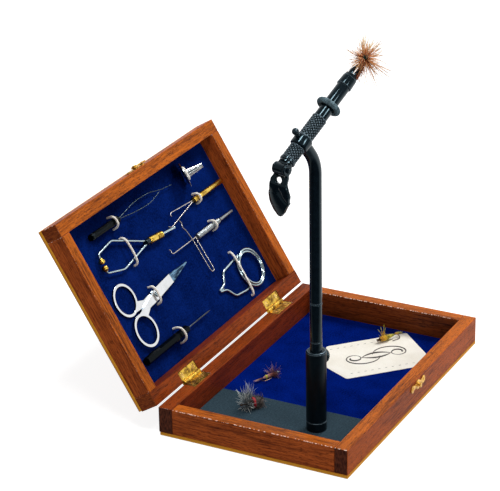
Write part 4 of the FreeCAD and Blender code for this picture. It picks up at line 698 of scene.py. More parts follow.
board = (
    Matrix.Translation(hinge_line)
    @ Matrix.Rotation(-lid_open, 4, "X")
    @ shift(0, -81.2, 15.4)
    @ Matrix.Rotation(math.pi, 4, "X")
)


def bright_steel(name, tone, rough):
    """Polished plate: slight clouds of rubbing and hair-fine scratches over a nearly even tone."""
    plate = Finish(name, "bright_steel", Metallic=1.0)
    place = plate.place()
    cloud = plate.noise(place, 130.0, 3.0)
    scratch = plate.noise(place, (400, 3600, 1200), 3.0)
    plate.set(Base_Color=plate.ramp(cloud, (0.3, scaled(tone, 0.9)), (0.65, tone)))
    plate.polish(cloud, rough + 0.05, rough)
    plate.relief(scratch, 0.00001, 0.3)
    return plate


blade_plate = bright_steel("blade plate", hue(236, 238, 240), 0.12)
blade_place = blade_plate.place()
along_blade = blade_plate.along(blade_place, (0.9945, 0.0548, 0.089))
blade_tone = blade_plate.shader.inputs["Base Color"].links[0].from_socket
# Over the ground bevel towards the tips the blade carries a painted reflection: dark blue with pale streaks.
bevel_reflection_zone = blade_plate.add("MapRange", along_blade, From_Min=-0.0034, From_Max=-0.0024)
reflection_streaks = blade_plate.noise(blade_place, (60, 500, 260), 2.0)
bevel_reflection_tone = blade_plate.ramp(reflection_streaks, (0.4, hue(30, 50, 74)), (0.52, hue(120, 160, 190)), (0.6, hue(40, 62, 88)))
blade_tone = blade_plate.mix(bevel_reflection_zone, blade_tone, bevel_reflection_tone)
# Faces square to the board's normal keep the bright tone; edges and faces turned away are painted dark teal,
# a painted shade.
facing = blade_plate.along(blade_plate.place("Normal"), (0, -0.852, 0.524))
lit_face_share = blade_plate.add("MapRange", facing, From_Min=0.7, From_Max=0.96)
blade_plate.set(Base_Color=blade_plate.mix(lit_face_share, hue(62, 84, 98), blade_tone))
lower = eased("scissors_lower", "scissors_lower_blade", 0.00045, blade_plate, "scissors_leg", 3)
upper = eased("scissors_upper", "scissors_upper_blade", 0.00045, blade_plate, "scissors", 3)
# Each blade keeps its width as far as the ground bevel, halfway along, and narrows from there.
pivot = board @ shift(-44.4, -13.4, 0) @ spin(6, "Z")
along, bevel_at = pivot.to_3x3() @ Vector((1, 0, 0)), 0.0276
for blade in (lower, upper):
    forged = bmesh.new()
    forged.from_mesh(blade.data)
    station = pivot @ Vector((bevel_at, 0, 0))
    cut = bmesh.ops.bisect_plane(
        forged, geom=[*forged.verts, *forged.edges, *forged.faces], plane_co=station, plane_no=along
    )
    for corner in (v for v in cut["geom_cut"] if isinstance(v, bmesh.types.BMVert)):
        at = pivot.inverted() @ corner.co
        corner.co = pivot @ Vector((at.x, at.y * 1.4, at.z))
    forged.to_mesh(blade.data)
    forged.free()
plated = bright_steel("bright plate", hue(184, 204, 210), 0.1)
eased("scissors_pivot", "scissors_screw", 0.00015, plated, "scissors")

# ------------------------------------------------------------------ bodkin
# A steel needle is set in a hexagonal handle of polished black plastic. It teases out fibres and
# clears varnish from a hook's eye.


def on_board(x, y, height, turn=0.0):
    """A stand on the lid's felt, X towards the tool's tip and Z out of the felt."""
    return board @ shift(x, y, height) @ spin(turn, "Z")


black_plastic = blackened("black plastic", hue(3, 6, 9), 0.2, 0.06, slot="black_plastic")
eased("bodkin_grip", "bodkin_handle", 0.0005, black_plastic, "bodkin", 3)
dark_steel = bright_steel("dark steel wire", hue(74, 80, 84), 0.3)
bodkin_stand = on_board(-97.5, -51.3, 3.418)
needle_line = [(54, 0), (54, 0.6), (100.9, 0.6), (105.7, 0.09), (105.7, 0)]
needle = lathe(bodkin_stand, needle_line, 0.1, 16)
skin("bodkin_point", [needle], dark_steel, "bodkin", "bodkin_needle")

# ------------------------------------------------------------------ threader
# A long leaf-shaped loop of fine twisted wire is crimped into a fluted black handle, and pulls
# the thread through the bobbin's tube.

threader_stand = on_board(-82.7, 54, 3.2)
grip_line = [(0, 0), (0, 2.4), (0.5, 2.9), (2.4, 2.9), (2.8, 2.5), (3.4, 2.9)]
grip_line += [(38.6, 2.9), (39.2, 2.5), (39.8, 2.9), (41.9, 2.9), (42.4, 2.4), (42.4, 0)]


def flutes(x, angle):
    """Fourteen shallow flutes along the middle of the handle."""
    middle = np.clip((np.minimum(x - 4, 38 - x)) / 0.8, 0, 1)
    return 1 - 0.05 * middle * (0.5 + 0.5 * np.cos(14 * angle))


grip = lathe(threader_stand, grip_line, 0.2, 112, 0.1, 70, flutes)
skin("threader_grip", [grip], black_plastic, "threader", "threader_handle")
twisted = bright_steel("twisted fine wire", hue(92, 108, 112), 0.35)
# A dark spiral painted along the wire is painted shade in the grooves between the twisted strands.
turns = twisted.add("SeparateXYZ", twisted.add("UVMap", uv_map="map"))
spiral = twisted.math("ADD", turns, twisted.math("MULTIPLY", turns.node.outputs[1], 90.0))
groove_shade_wave = twisted.math("SINE", twisted.math("MULTIPLY", spiral, 6.2832))
shown = twisted.add("MapRange", groove_shade_wave, From_Min=-1.0)
wire_tone = twisted.shader.inputs["Base Color"].links[0].from_socket
twisted.set(Base_Color=twisted.mix(shown, hue(16, 22, 26), wire_tone))
upper = [(36.6, 0.44, 0), (46, 0.44, 0), (72.9, 4.4, 0), (95.9, 3.5, 0), (110, 0, 0), (128, -2, 0)]
lower = [(36.6, -0.44, 0), (46, -0.44, 0), (68.4, -3.5, 0), (92.1, -4.4, 0), (108.7, -0.85, 0)]
strands = [tube(threader_stand, rounded(line, 12, 12)[0], 0.26, sides=8) for line in (upper, lower)]
skin("threader_loop", strands, twisted, "threader", "threader_wire")

# ------------------------------------------------------------------ bobbin
# Two sprung steel arms with brass beads grip the thread spool, and lead into a turned brass
# barrel that holds the steel thread tube.

bobbin_stand = on_board(-16.3, 24.8, 3.5, -5)
tool_brass = brass("tool brass", hue(236, 200, 92), hue(160, 122, 36), 0.14)
barrel_turned = [(-3, 0), (-3, 2.6), (-2, 3.2), (7.4, 3.2), (7.8, 2.7), (8.6, 2.7), (9, 3.2)]
barrel_turned += [(13.4, 3.2), (13.8, 2.8), (14.4, 2.8), (14.8, 3.2), (15.4, 3.2), (17.1, 2.2), (17.1, 0)]
bobbin_barrel = lathe(bobbin_stand, barrel_turned, 0.15)
skin("bobbin_barrel", [bobbin_barrel], tool_brass, "bobbin", "bobbin_barrel_and_tube")
collar = lathe(bobbin_stand, [(-8, 0), (-8, 2.4), (-3.05, 2.7), (-3.05, 0)], 0.5)
skin("bobbin_collar", [collar], gloss_black, "bobbin", slot="brass")
nozzle = [(6.8, 0), (6.8, 1.1), (35.4, 1.1), (36.1, 1.25), (36.1, 0.75), (30, 0.75), (30, 0)]
skin("bobbin_tube", [lathe(bobbin_stand, nozzle, 0.1, 24)], plated, "bobbin")
arm_end, arms = -69.5, []
for side, spread in ((-1, 10.87), (1, 14.3)):
    path = [(4, 1.4 * side, 0), (-8, 1.4 * side, 0), (-47.3, spread * side, 0)]
    path += [(arm_end, spread * 0.66 * side, 0), (arm_end, 2.6 * side, 0)]
    arms.append(tube(bobbin_stand, rounded(path, 2.4, 8)[0], 0.85))
    across = bobbin_stand @ shift(arm_end, 3.2 * side, 0) @ spin(90 * side, "Z")
    bead_line = [(-2.4, 0), (-2.4, 1.7), (-1.2, 2.6), (0.9, 2.6), (1.6, 1.7), (2.6, 1.5), (2.6, 0)]
    bead = lathe(across, bead_line, 0.6, 40)
    skin(f"bobbin_bead_{'near' if side < 0 else 'far'}", [bead], tool_brass, "bobbin")
skin("bobbin_arms", arms, plated, "bobbin", "bobbin_arms_and_beads")

# ------------------------------------------------------------------ whip finishers
# Both tools turn on two bent spring wires that lay a finishing knot over the hook. One has a
# plain turned brass handle; the steel one is knurled and drawn out to a long half-hitch nose.

brass_stand = on_board(62.3, 30.4, 2.9)
handle_line = [(0, 0), (0, 2.1), (0.5, 2.6), (6, 2.6), (7, 2.2), (9, 2.2), (10, 2.6)]
handle_line += [(49.5, 2.3), (50, 1.9), (50, 0)]
brass_handle = lathe(brass_stand, handle_line, 0.2)
skin("brass_finisher_grip", [brass_handle], tool_brass, "brass_handle", "brass_whip_handle")
short_wire = [(6, 0.6, 0), (-3, 0.6, 0), (-36, 2.8, 0), (-38.5, 1.1, 0), (-37.6, 0.2, 0)]
long_wire = [(6, -0.6, 0), (-3, -0.6, 0), (-42, -7.8, -1.6), (-44.5, -6.9, -1.6), (-46, -5.6, -1.6)]
springs = [tube(brass_stand, rounded(line, 1.2, 6)[0], 0.42, sides=10) for line in (short_wire, long_wire)]
spring_steel = bright_steel("spring wire", hue(196, 190, 184), 0.2)
skin("brass_finisher_wires", springs, spring_steel, "lid", "brass_whip_wires")

steel_stand = on_board(41.9, 3.8, 2.9)
steel_line = [(0, 0), (0, 2.1), (0.5, 2.6), (37.2, 2.6), (40.2, 1.55), (61.8, 1.25), (62.8, 0.7), (62.8, 0)]


def fine_knurl(x, angle):
    """Fine diamond knurl over the first 36 mm: crossed trains of slanting rectified sines."""
    grooves = np.minimum(np.abs(np.sin(10 * angle + x * 3.2)), np.abs(np.sin(10 * angle - x * 3.2)))
    return 1 - 0.07 * np.clip((36 - x) / 0.5, 0, 1) * (1 - grooves)


steel_handle = lathe(steel_stand, steel_line, 0.3, 120, 0, 420, fine_knurl)
knurled_plate = bright_steel("knurled plate", hue(150, 156, 158), 0.3)
skin("steel_finisher_grip", [steel_handle], knurled_plate, "steel_handle", "steel_whip_handle", crease=75)
straight_wire = [(6, 0.6, 0), (-39.5, 0.6, 0), (-41.6, 1.6, 0), (-40.9, 3.6, 0), (-42.4, 5.5, 0)]
hooked_wire = [
    (6, -0.6, 0), (-2, -0.6, 0), (-2, -28.2, 0.8), (-2.6, -30.6, 1.1), (-6.6, -30.8, 1.2),
    (-7.6, -28, 1.3), (-8.8, -2, 1.3), (-11, 10, 1.3), (-13.4, 14, 1.3), (-11.4, 17, 1.3),
    (-12.6, 20, 1.3),
]
springs = [
    tube(steel_stand, rounded(line, 1.2, 6)[0], 0.5, sides=10) for line in (straight_wire, hooked_wire)
]
skin("steel_finisher_wires", springs, spring_steel, "steel_wires", "steel_whip_wires")

# ------------------------------------------------------------------ hackle pliers
# One length of spring wire is coiled just over twice into a finger ring, and its ends cross over
# into two small flat jaws that pinch a feather.

pliers_stand = on_board(88.9, -45, 1.3)
ring_side, wire_side = 16.5, 1.0
coil = np.linspace(math.radians(114), math.radians(966), 180)
share = np.linspace(0, 1, 180)
coil_side = ring_side - 2.4 * np.clip((share - 0.35) / 0.3, 0, 1)
coil_path = np.stack(
    [coil_side * np.cos(coil), coil_side * np.sin(coil), 0.3 + 2.0 * np.sin(math.pi * share)], axis=1
)
arm_ends = [
    np.array(
        [(-20.4, 13.5 * side, 0.2), (-36.7, 11.6 * side, 0), (-43.9, 2.4 * side, 0), (-53.5, 0.6 * side, 0)]
    )
    for side in (1, -1)
]
pliers_path = np.concatenate([arm_ends[0][::-1], coil_path, arm_ends[1]])
pliers_wire = tube(pliers_stand, rounded(pliers_path, 3, 5)[0], wire_side, sides=16)
jaw_line = [(-54, 0), (-54, 1.3), (-48, 1.3), (-47.4, 0.6), (-47.4, 0)]
jaw_block = lathe(pliers_stand, jaw_line, 0.3, 4)
skin("pliers", [pliers_wire, jaw_block], plated, "pliers", "hackle_pliers")

# ------------------------------------------------------------------ hackle guard
# A thin spun flange on a fluted aluminium cone. It slips over the hook's eye and holds feathers
# back while the head is tied.

guard_stand = on_board(62, 53, 7.517) @ spin(-49, "Y")
guard_line = [
    (0.4, 2.6), (0, 3.3), (0, 11), (0.5, 11.1), (0.8, 11), (1.0, 4.4), (2.2, 4.1), (17.2, 2.1),
    (17.2, 1.5), (0.4, 2.6)
]


def cone_flutes(x, angle):
    """Eight flutes down the cone, none on the flange."""
    return 1 - 0.14 * np.clip((x - 1.2) / 2, 0, 1) * (0.5 + 0.5 * np.cos(8 * angle))


spun = Finish("spun aluminium", "aluminium", Metallic=1.0)
spun_place = spun.place()
spun_cloud = spun.noise(spun_place, 420.0, 4.0)
spun.set(Base_Color=spun.ramp(spun_cloud, (0.3, hue(176, 186, 190)), (0.7, hue(220, 224, 226))))
spun.polish(spun_cloud, 0.24, 0.14)
guard_piece = lathe(guard_stand, guard_line, 0.1, 96, 0, 120, cone_flutes)
skin("guard_cone", [guard_piece], spun, "guard", "hackle_guard")

# ------------------------------------------------------------------ elastic loops
# Short lengths of round cream elastic arch over each tool. Both ends are sewn to the felt, and
# the braided cover shows as small darker flecks.

loops = []
for x, y, width, height, slope, power in (
    (-43.4, -51.3, 13.2, 8.9, 0, 2.6), (-48, 54, 10.4, 7.5, 0, 2.6), (-45.4, -13.3, 15.5, 6.1, 0, 3.2),
    (-47, 27.5, 24.6, 5.8, 0, 3.2), (68.5, 30.4, 8.6, 6.9, 0, 2.6), (70, 3.8, 8.6, 6.9, 0, 2.6),
    (74, -44.6, 41.4, 3.9, 0, 4), (59.5, 53, 11.2, 12.6, 14.7, 4),
):
    # Each arch is half of |across|^power + |up|^power = 1, and slopes back along the tool.
    t = np.linspace(0, math.pi, 33)
    across = -np.sign(np.cos(t)) * np.abs(np.cos(t)) ** (2 / power) * width / 2
    up = np.abs(np.sin(t)) ** (2 / power) * height
    arch = np.stack([x + slope * (1 - up / height), y + across, up], axis=1)
    loops.append(tube(board, arch, 0.95, (1, 0, 0), 12))
elastic = Finish("cream elastic", "elastic", Roughness=0.85, Sheen_Weight=0.15, Specular_IOR_Level=0.3)
braid = elastic.add("UVMap", uv_map="map")
braid_cells = elastic.add(
    "TexVoronoi", Vector=elastic.add("Mapping", Vector=braid, Scale=(5, 34, 1)), Scale=1.0
)
fleck = elastic.noise(braid, (6, 34, 1), 2.0)
cover = elastic.ramp(braid_cells, (0.3, hue(255, 252, 244)), (0.9, hue(226, 214, 196)))
elastic.set(
    Base_Color=elastic.mix(
        elastic.add("MapRange", fleck, From_Min=0.62, From_Max=0.7), cover, hue(170, 140, 104)
    )
)
elastic.relief(braid_cells, 0.0001, 0.5)
skin("loops", loops, elastic, "lid", "tool_loops")

# ------------------------------------------------------------------ card tag
# A stiff cream card label with clipped corners lies in the tray. It has a pricked line along
# both long edges and a pen flourish of two volutes, with no writing.

tag_stand = shift(8.6, -8.3, 3.8) @ spin(-43.8, "Z")
tag_long, tag_wide, tag_clip, tag_thick = 85.5, 61.0, 7.6, 0.6
outline = [
    (tag_long / 2, 0),
    (tag_long, 0),
    (tag_long, tag_wide),
    (tag_clip * 1.8, tag_wide),
    (0, tag_wide - tag_clip * 2.8),
    (0, tag_clip * 3.2),
    (tag_clip, 0),
    (tag_long / 2, 0),
]
edge_line = rounded(outline, 2.0, 7)[0][:-1]
middle = np.array([tag_long / 2, tag_wide / 2])
shrink = np.array([0, 0.5, 0.985, 1, 1, 0.985, 0.5, 0])[:, None, None]
level = np.array([1, 1, 1, 0.75, 0.25, 0, 0, 0])[:, None] * tag_thick + np.zeros(len(edge_line))
spokes = middle + shrink * (edge_line - middle)
card_points = placed(np.concatenate([spokes, level[..., None]], axis=2), tag_stand)
card = Finish("cream card", "card", Roughness=0.75, Specular_IOR_Level=0.2)
card_place = card.place()
pulp = card.noise(card_place, 1400.0, 4.0)
stain = card.noise(card_place, 60.0, 3.0)
pulp_tone = card.share(0.5, pulp, stain)
card.set(Base_Color=card.ramp(pulp_tone, (0.36, hue(228, 222, 208)), (0.62, hue(243, 239, 229))))
card.relief(pulp, 0.00008, 0.5)
skin("tag_card", [card_points], card, "case", "card_tag")

ink_height = tag_thick + 0.02


def stroke(points, width):
    """A pen line: a flat tube along points on the card, swelling and thinning with `width`."""
    path = np.column_stack([points, np.full(len(points), ink_height)])
    return tube(tag_stand, path, width, sides=6)


pen = np.linspace(0, 1, 90)
turn = 2 * math.pi * 1.6 * (1 - pen)
strokes = []
for end in (-1, 1):
    # A volute: radius and angle both run out to the tail, which swings over to the middle.
    reach = 3.0 + 11.0 * pen**1.3
    x = end * (20 - reach * np.cos(turn) * 0.95 - 9 * pen**3)
    y = end * (reach * np.sin(turn) * 0.8 + 2.5 * pen**2)
    width = 0.2 + 0.62 * np.abs(np.sin(turn * 0.5 + 0.5)) * (1 - pen * 0.5)
    strokes.append(stroke(np.stack([46 + x, 31 + y], axis=1), width))
sweep = np.linspace(-1, 1, 60)
for bow in (-1, 1):
    lens = np.stack([46 + 13 * sweep, 31 + bow * 4.2 * (1 - sweep**2)], axis=1)
    strokes.append(stroke(lens, 0.2 + 0.6 * (1 - sweep**2)))
for edge_y in (7.0, tag_wide - 7.0):
    for i in range(11):
        start = 14 + 6 * i
        strokes.append(
            stroke(np.array([(start, edge_y), (start + 1, edge_y + 0.1), (start + 2, edge_y)]), 0.13)
        )
ink = Finish("brown ink", "card", Roughness=0.6)
ink_place = ink.place()
ink.set(Base_Color=ink.ramp(ink.noise(ink_place, 500.0), (0.3, hue(40, 34, 32)), (0.7, hue(78, 68, 62))))
skin("tag_pen_work", strokes, ink, "case")

# ------------------------------------------------------------------ loose flies
# Three finished flies lie in the tray: an olive nymph on the tag, a brown hackled fly with a
# bead and a grey fly with a red tag. Each is dressed with fur and feather on a bronze hook.


def hairs(stand, roots, tips, bow, thick, rows=7, sides=3):
    """Tapered hairs: hair i is root + (tip - root) t + 4 t (1 - t) bow, and its radius shrinks
    from thick to nothing at the tip."""
    t = np.linspace(0, 1, rows)[None, :, None]
    line = roots[:, None] + (tips - roots)[:, None] * t + 4 * t * (1 - t) * bow[:, None]
    ahead = tips - roots
    ahead = ahead / np.linalg.norm(ahead, axis=1, keepdims=True)
    side = np.cross(ahead, np.array([0.31, 0.52, 0.8]))
    side = side / np.linalg.norm(side, axis=1, keepdims=True)
    over = np.cross(side, ahead)
    taper = (1 - t) ** 0.35 * (t > 0)
    angle = (np.arange(sides) * 2 * math.pi / sides)[None, None, :, None]
    circle = np.cos(angle) * side[:, None, None] + np.sin(angle) * over[:, None, None]
    radius = (thick[:, None, None] * taper)[..., None]
    return placed(line[:, :, None] + radius * circle, stand)


lining_top = 0.0039


def resting(points):
    """Lets nothing sink below the tray's lining: hairs that would are pressed flat on it."""
    points[..., 2] = np.maximum(points[..., 2], lining_top + 0.0001)
    return points


def feather(name, *tones):
    """Hair coloured along its length from root to tip, with a slight barring."""
    fibre = Finish(name, "feathers", Roughness=0.7, Specular_IOR_Level=0.3, Sheen_Weight=0.2)
    along = fibre.add("SeparateXYZ", fibre.add("UVMap", uv_map="map"), out=1)
    place = fibre.place()
    bar = fibre.noise(place, 700.0, 2.0)
    barred = fibre.math("ADD", along, fibre.math("MULTIPLY", fibre.math("SUBTRACT", bar, 0.5), 0.6))
    fibre.set(Base_Color=fibre.ramp(barred, *tones))
    return fibre


chance = np.random.default_rng(7)


def burst(stand, count, at, spread, reach, cone, bow, thick, arc=(0, 360)):
    """Hairs standing out all round X: each leaves the shank near `at`, at a random angle round
    it, for a tip a length from `reach` away, tilted along X by a random angle of about `cone`
    radians."""
    angle = np.radians(chance.uniform(arc[0], arc[1], count))
    long = chance.uniform(reach[0], reach[1], count)
    tilt = chance.normal(0, cone, count)
    out = np.stack([0 * angle, np.cos(angle), np.sin(angle)], axis=1)
    start = out * 0.6 + np.stack([at + chance.uniform(-spread, spread, count), 0 * angle, 0 * angle], axis=1)
    tip = start + out * (long * np.cos(tilt))[:, None] + np.array([1, 0, 0]) * (long * np.sin(tilt))[:, None]
    bend = chance.normal(0, bow, (count, 3)) * long[:, None]
    return hairs(stand, start, tip, bend, np.full(count, thick))


def tail(stand, root, count, reach, spread, rise, bow, thick):
    """Hairs from one root to tips `reach` back along the shank, spread sideways and in height."""
    tips = [chance.uniform(*reach, count), chance.normal(0, spread, count), chance.uniform(*rise, count)]
    bend = chance.normal(0, bow, (count, 3))
    return hairs(stand, np.tile(root, (count, 1)), np.stack(tips, axis=1), bend, np.full(count, thick))


def fly_stand(x, y, height, turn):
    """The eye of a loose fly, X back along its shank."""
    return shift(x, y, height) @ spin(turn, "Z")


hook_wire = 0.42


def hook(stand, shank, side):
    """A bronze hook lying on its side: an eye, a straight shank, a half-circle bend and a point."""
    gape = 5.0 * side
    bend = np.linspace(-math.pi / 2, math.pi / 2, 13)
    eye_turn = np.linspace(0.2, 2 * math.pi, 12)
    eye_loop = np.stack([-0.8 + 0.8 * np.cos(eye_turn), 0.8 * np.sin(eye_turn), 0 * eye_turn], axis=1)
    curve = np.stack([shank + 2.5 * np.cos(bend), gape / 2 + gape / 2 * np.sin(bend), 0 * bend], axis=1)
    path = np.concatenate([eye_loop, [(1, 0, 0)], curve, [(shank * 0.66, gape * 0.96, 0)]])
    return tube(stand, path, np.linspace(1.1, 0.7, len(path)) * hook_wire, sides=8)


bronze = bright_steel("bronze hook wire", hue(92, 70, 54), 0.22)
nymph = fly_stand(84, -10.5, 7.6, -27)
bead_fly = fly_stand(-2, 40.3, 5.85, 157)
grey_fly = fly_stand(-70, 37.5, 8.75, -38)
hooks = [hook(nymph @ spin(35, "X"), 18, -1), hook(bead_fly, 17, 1), hook(grey_fly, 17, 1)]
skin("loose_hooks", hooks, bronze, "case", "loose_flies")

olive = feather(
    "olive dubbing", (0.04, hue(40, 32, 12)), (0.2, hue(196, 132, 20)), (0.42, hue(226, 184, 40)),
    (0.56, hue(74, 84, 24)), (0.72, hue(206, 186, 60)), (0.95, hue(64, 94, 34))
)
nymph_body = lathe(
    nymph,
    [(0.4, 0), (0.8, 1.2), (2.5, 1.9), (6, 2.5), (8.5, 2.2), (12, 1.6), (16, 1.0), (17.5, 0)],
    0.8, 32, 0, 120, lambda x, angle: 1 + 0.09 * np.sin(x * 5.5),
)
nymph_fur = burst(nymph, 90, 5.5, 4.5, (2.2, 4.2), 0.5, 0.06, 0.12)
nymph_tail = tail(nymph, (16.5, 0, 0.2), 9, (22, 27), 1.4, (-0.5, 1.5), 0.3, 0.22)
wing_tips = np.array([(7.5, 2.0, 12.5), (4.5, 3.5, 10), (2, 4.5, 8), (9.5, 2.5, 8.5)])
nymph_wings = hairs(
    nymph, np.tile((5.5, 0.6, 1.2), (4, 1)), wing_tips, np.full((4, 3), 0.2), np.full(4, 0.42)
)
skin("nymph_dressing", [nymph_body, resting(nymph_fur), resting(nymph_tail), nymph_wings], olive, "case")

russet = feather(
    "russet hackle", (0.0, hue(56, 22, 18)), (0.45, hue(110, 48, 38)), (0.95, hue(184, 146, 136))
)
brown_body = lathe(bead_fly, [(2, 0), (2.2, 1.1), (9, 1.7), (15, 0.9), (16, 0)], 0.6, 24)
brown_hackle = burst(bead_fly, 80, 4.5, 1.8, (4.5, 11), 0.3, 0.07, 0.16)
brown_tail = tail(bead_fly, (14, 0, 0), 14, (23, 26), 0.8, (-1, 0.8), 0.2, 0.25)
skin("brown_fly_dressing", [brown_body, resting(brown_hackle), resting(brown_tail)], russet, "case")
bead_ball = np.linspace(-math.pi / 2, math.pi / 2, 13)
bead = lathe(bead_fly, np.stack([0.4 + 1.3 * np.sin(bead_ball), 1.3 * np.cos(bead_ball)], axis=1), 0.01, 24)
skin("fly_bead", [bead], plated, "case")
butt = lathe(bead_fly, [(11.6, 0), (11.8, 1.6), (13.2, 1.7), (13.6, 0)], 0.5, 24)
chartreuse = feather("yellow floss", (0.2, hue(150, 150, 20)), (0.8, hue(200, 196, 60)))
skin("brown_fly_butt", [butt], chartreuse, "case")

grizzle = feather(
    "grizzle hackle", (0.0, hue(30, 36, 40)), (0.25, hue(120, 130, 134)), (0.45, hue(50, 58, 62)),
    (0.7, hue(224, 230, 224)), (1.0, hue(160, 168, 166))
)
grey_hackle = burst(grey_fly, 110, 4, 2.0, (6.0, 11.5), 0.5, 0.09, 0.19)
crest = burst(grey_fly, 30, 3.5, 1.5, (12, 19), 0.3, 0.08, 0.22, (50, 130))
skin("grey_fly_hackle", [resting(grey_hackle), resting(crest)], grizzle, "case")
smoke = feather("smoky fur", (0.0, hue(24, 20, 18)), (0.6, hue(72, 62, 58)), (1.0, hue(120, 108, 100)))
fur_body = lathe(grey_fly, [(3, 0), (3.4, 2.2), (9, 4.0), (15, 3.4), (18, 1.2), (18.5, 0)], 1.2, 32)
fur = burst(grey_fly, 240, 13, 5.0, (4, 8.4), 0.35, 0.09, 0.17)
skin("grey_fly_fur", [fur_body, resting(fur)], smoke, "case")
red_tag = lathe(grey_fly, [(8.2, 0), (8.4, 4.4), (10.4, 4.6), (10.8, 0)], 0.6, 24)
scarlet = feather("scarlet floss", (0.2, hue(150, 14, 30)), (0.8, hue(214, 30, 50)))
skin("grey_fly_tag", [red_tag], scarlet, "case")

# ------------------------------------------------------------------ fly in the vise
# The fly being tied stands in the jaws by the bend of its hook: a full ginger cock hackle
# wound behind a head of dark green thread, with a dubbed body below.

fly_turn = spin(43, "X")
eye_up = Matrix(((0, 1, 0, 0.0793), (0, 0, -1, 0), (-1, 0, 0, 0.0105), (0, 0, 0, 1)))
tied = head_stand @ fly_turn @ eye_up
tied_hook = hook(tied, 10.5, -1)
skin("tied_hook", [tied_hook], bronze, "jaws", "tied_fly")
ginger = feather(
    "ginger hackle", (0.0, hue(116, 48, 18)), (0.3, hue(196, 116, 60)), (0.65, hue(238, 186, 130)),
    (1.0, hue(120, 72, 40))
)
hackle = burst(tied, 100, 3.9, 0.8, (10.5, 19.5), 0.45, 0.05, 0.26)
under = burst(tied, 90, 4.2, 1.2, (6, 13), 0.5, 0.06, 0.26)
stray = burst(tied, 22, 4.2, 1.0, (16, 27), 0.2, 0.05, 0.28, (70, 165))
skin("tied_hackle", [hackle, under, stray], ginger, "jaws")
straw = feather(
    "straw hackle", (0.0, hue(150, 80, 44)), (0.4, hue(226, 180, 128)), (0.8, hue(240, 220, 180)),
    (1.0, hue(190, 150, 90))
)
pale = burst(tied, 46, 3.9, 0.8, (12, 20), 0.25, 0.06, 0.28, (-60, 25))
skin("tied_pale_hackle", [pale], straw, "jaws")
rust = feather("rust dubbing", (0.0, hue(84, 34, 16)), (0.5, hue(166, 84, 44)), (1.0, hue(190, 116, 76)))
dubbing = [burst(tied, 120, at, 1.6, (1.6, 4.0), 0.5, 0.1, 0.3) for at in (6.5, 9.5)]
dubbed = lathe(tied, [(3.5, 0), (4, 1.5), (8, 2.1), (11.5, 1.6), (12.5, 0)], 0.8, 24)
bend_turn = np.linspace(-1.2, 1.3, 8)
bend_at = np.stack([10.5 + 2.6 * np.cos(bend_turn), -2.5 - 2.5 * np.sin(bend_turn), 0 * bend_turn], axis=1)
bend_root = np.repeat(bend_at, 16, axis=0)
bend_tip = bend_root + chance.normal(0, 1.7, bend_root.shape)
bend_fur = hairs(tied, bend_root, bend_tip, np.zeros(bend_root.shape), np.full(len(bend_root), 0.3))
# A trail of loose dubbing runs from the bend down one side of the jaws to the cap.
trail = np.repeat(np.linspace(0, 1, 24), 22)
trail_root = np.stack([79 - 15 * trail, -0.947 * (1.6 + 3 * trail), -0.233 * (1.6 + 3 * trail)], axis=1)
trail_root += chance.normal(0, (0.3, 0.7, 0.7), trail_root.shape)
trail_tip = trail_root + chance.normal(0, 1.1, trail_root.shape)
trail_fur = hairs(head_stand, trail_root, trail_tip, 0 * trail_root, np.full(len(trail_root), 0.26))
skin("tied_body", [dubbed, *dubbing, bend_fur, trail_fur], rust, "jaws")
thread = feather("green thread", (0.2, hue(6, 40, 26)), (0.8, hue(20, 84, 52)))
head_wraps = lathe(tied, [(0.6, 0), (0.8, 0.9), (1.8, 1.7), (3, 1.5), (3.6, 0)], 0.4, 32, 0, 60,
                   lambda x, angle: 1 + 0.05 * np.sin(x * 16))
skin("tied_head", [head_wraps], thread, "jaws")

# ------------------------------------------------------------------ studio
# A pale floor, three soft boxes and a dim white surround; the camera stands to the left of the
# clasp side, a little above the lid.

floor = bpy.data.meshes.new("floor")
floor_low, floor_half = -0.0002, 8
floor_corners = [(x * floor_half, y * floor_half, floor_low) for x, y in ((-1, -1), (1, -1), (1, 1), (-1, 1))]
floor.from_pydata(floor_corners, [], [(0, 1, 2, 3)])
linked("floor", floor)
# Reflections show the paper and the surround as bright behind the object and dark on the camera's
# side, as in a real studio, so polished black keeps its depth.
dark_way = (-0.97, -0.24, 0.0)


def rays(nodes):
    """The two shares that tell rays from the camera and rays off polished surfaces apart."""
    path = nodes.add("LightPath").node
    return path.outputs["Is Camera Ray"], path.outputs["Is Glossy Ray"]


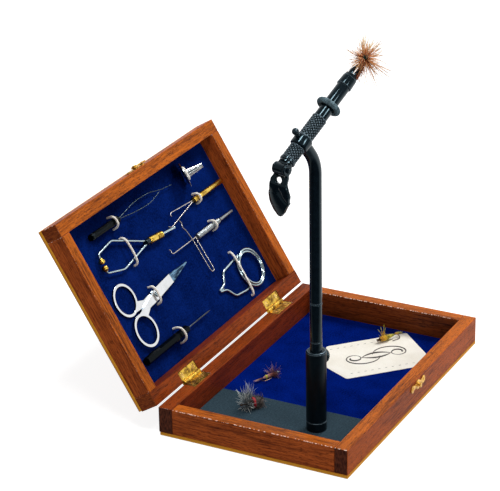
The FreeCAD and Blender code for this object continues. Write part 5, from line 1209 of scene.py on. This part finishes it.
paper = Finish("studio paper", Roughness=1.0, Specular_IOR_Level=0.0)
camera_ray, glossy_ray = rays(paper)
dark_side = paper.add("MapRange", paper.along(paper.place(), dark_way), From_Min=0.02, From_Max=0.2)
hidden = paper.math("MULTIPLY", dark_side, glossy_ray)
paper.set(Base_Color=paper.mix(hidden, (0.45, 0.45, 0.45, 1), (0.03, 0.03, 0.035, 1)))
shown = paper.math("SUBTRACT", glossy_ray, hidden)
lit = paper.math("MULTIPLY", camera_ray, 0.85)
lit = paper.math("ADD", lit, paper.math("MULTIPLY", shown, 0.6))
paper.set(Emission_Color=(1, 1, 1, 1), Emission_Strength=lit)
floor.materials.append(paper.material)

world = bpy.data.worlds.new("studio")
bpy.context.scene.world = world
world.use_nodes = True
sky = Nodes(world.node_tree)
camera_ray, glossy_ray = rays(sky)
sky_side = sky.along(sky.place("Generated"), dark_way)
reflected = sky.add("MapRange", sky_side, -0.6, 0.0, 1.0, 0.12)
direct = sky.math("MAXIMUM", camera_ray, sky.math("MULTIPLY", glossy_ray, reflected))
surround = world.node_tree.nodes["Background"].inputs
sky.feed(surround[0], (1, 1, 1, 1))
sky.feed(surround[1], sky.math("MAXIMUM", direct, 0.3))


def softbox(name, place, aim, size, power):
    lamp = bpy.data.lights.new(name, "AREA")
    lamp.shape = "RECTANGLE"
    lamp.size, lamp.size_y = size
    lamp.energy = power
    holder = linked(name, lamp)
    holder.location = place
    holder.rotation_euler = (Vector(aim) - Vector(place)).to_track_quat("-Z", "Y").to_euler()


post_head = (-0.04, -0.035, 0.265)
softbox("key", (0.95, -0.3, 1.55), (0, 0, 0.1), (0.5, 0.5), 21)
softbox("overhead", (-0.535, -0.11, 1.675), post_head, (0.26, 0.4), 9)
softbox("side", (-0.347, -1.266, 0.859), post_head, (0.2, 0.4), 4.5)

lens = bpy.data.cameras.new("camera")
lens.sensor_width = 36
lens.lens = 2232.6 / 500 * 36
lens.clip_end = 50
camera = linked("camera", lens)
look_down, look_across, roll = (math.radians(angle) for angle in (23.629, 27.596, -0.982))
quarter = math.pi / 2
aim = Euler((quarter - look_down, 0, look_across - quarter)).to_matrix() @ Matrix.Rotation(roll, 3, "Z")
camera.matrix_world = Matrix.Translation((-1.44695, -0.69138, 0.82708)) @ aim.to_4x4()
bpy.context.scene.camera = camera
bpy.context.scene.view_settings.view_transform = "Standard"
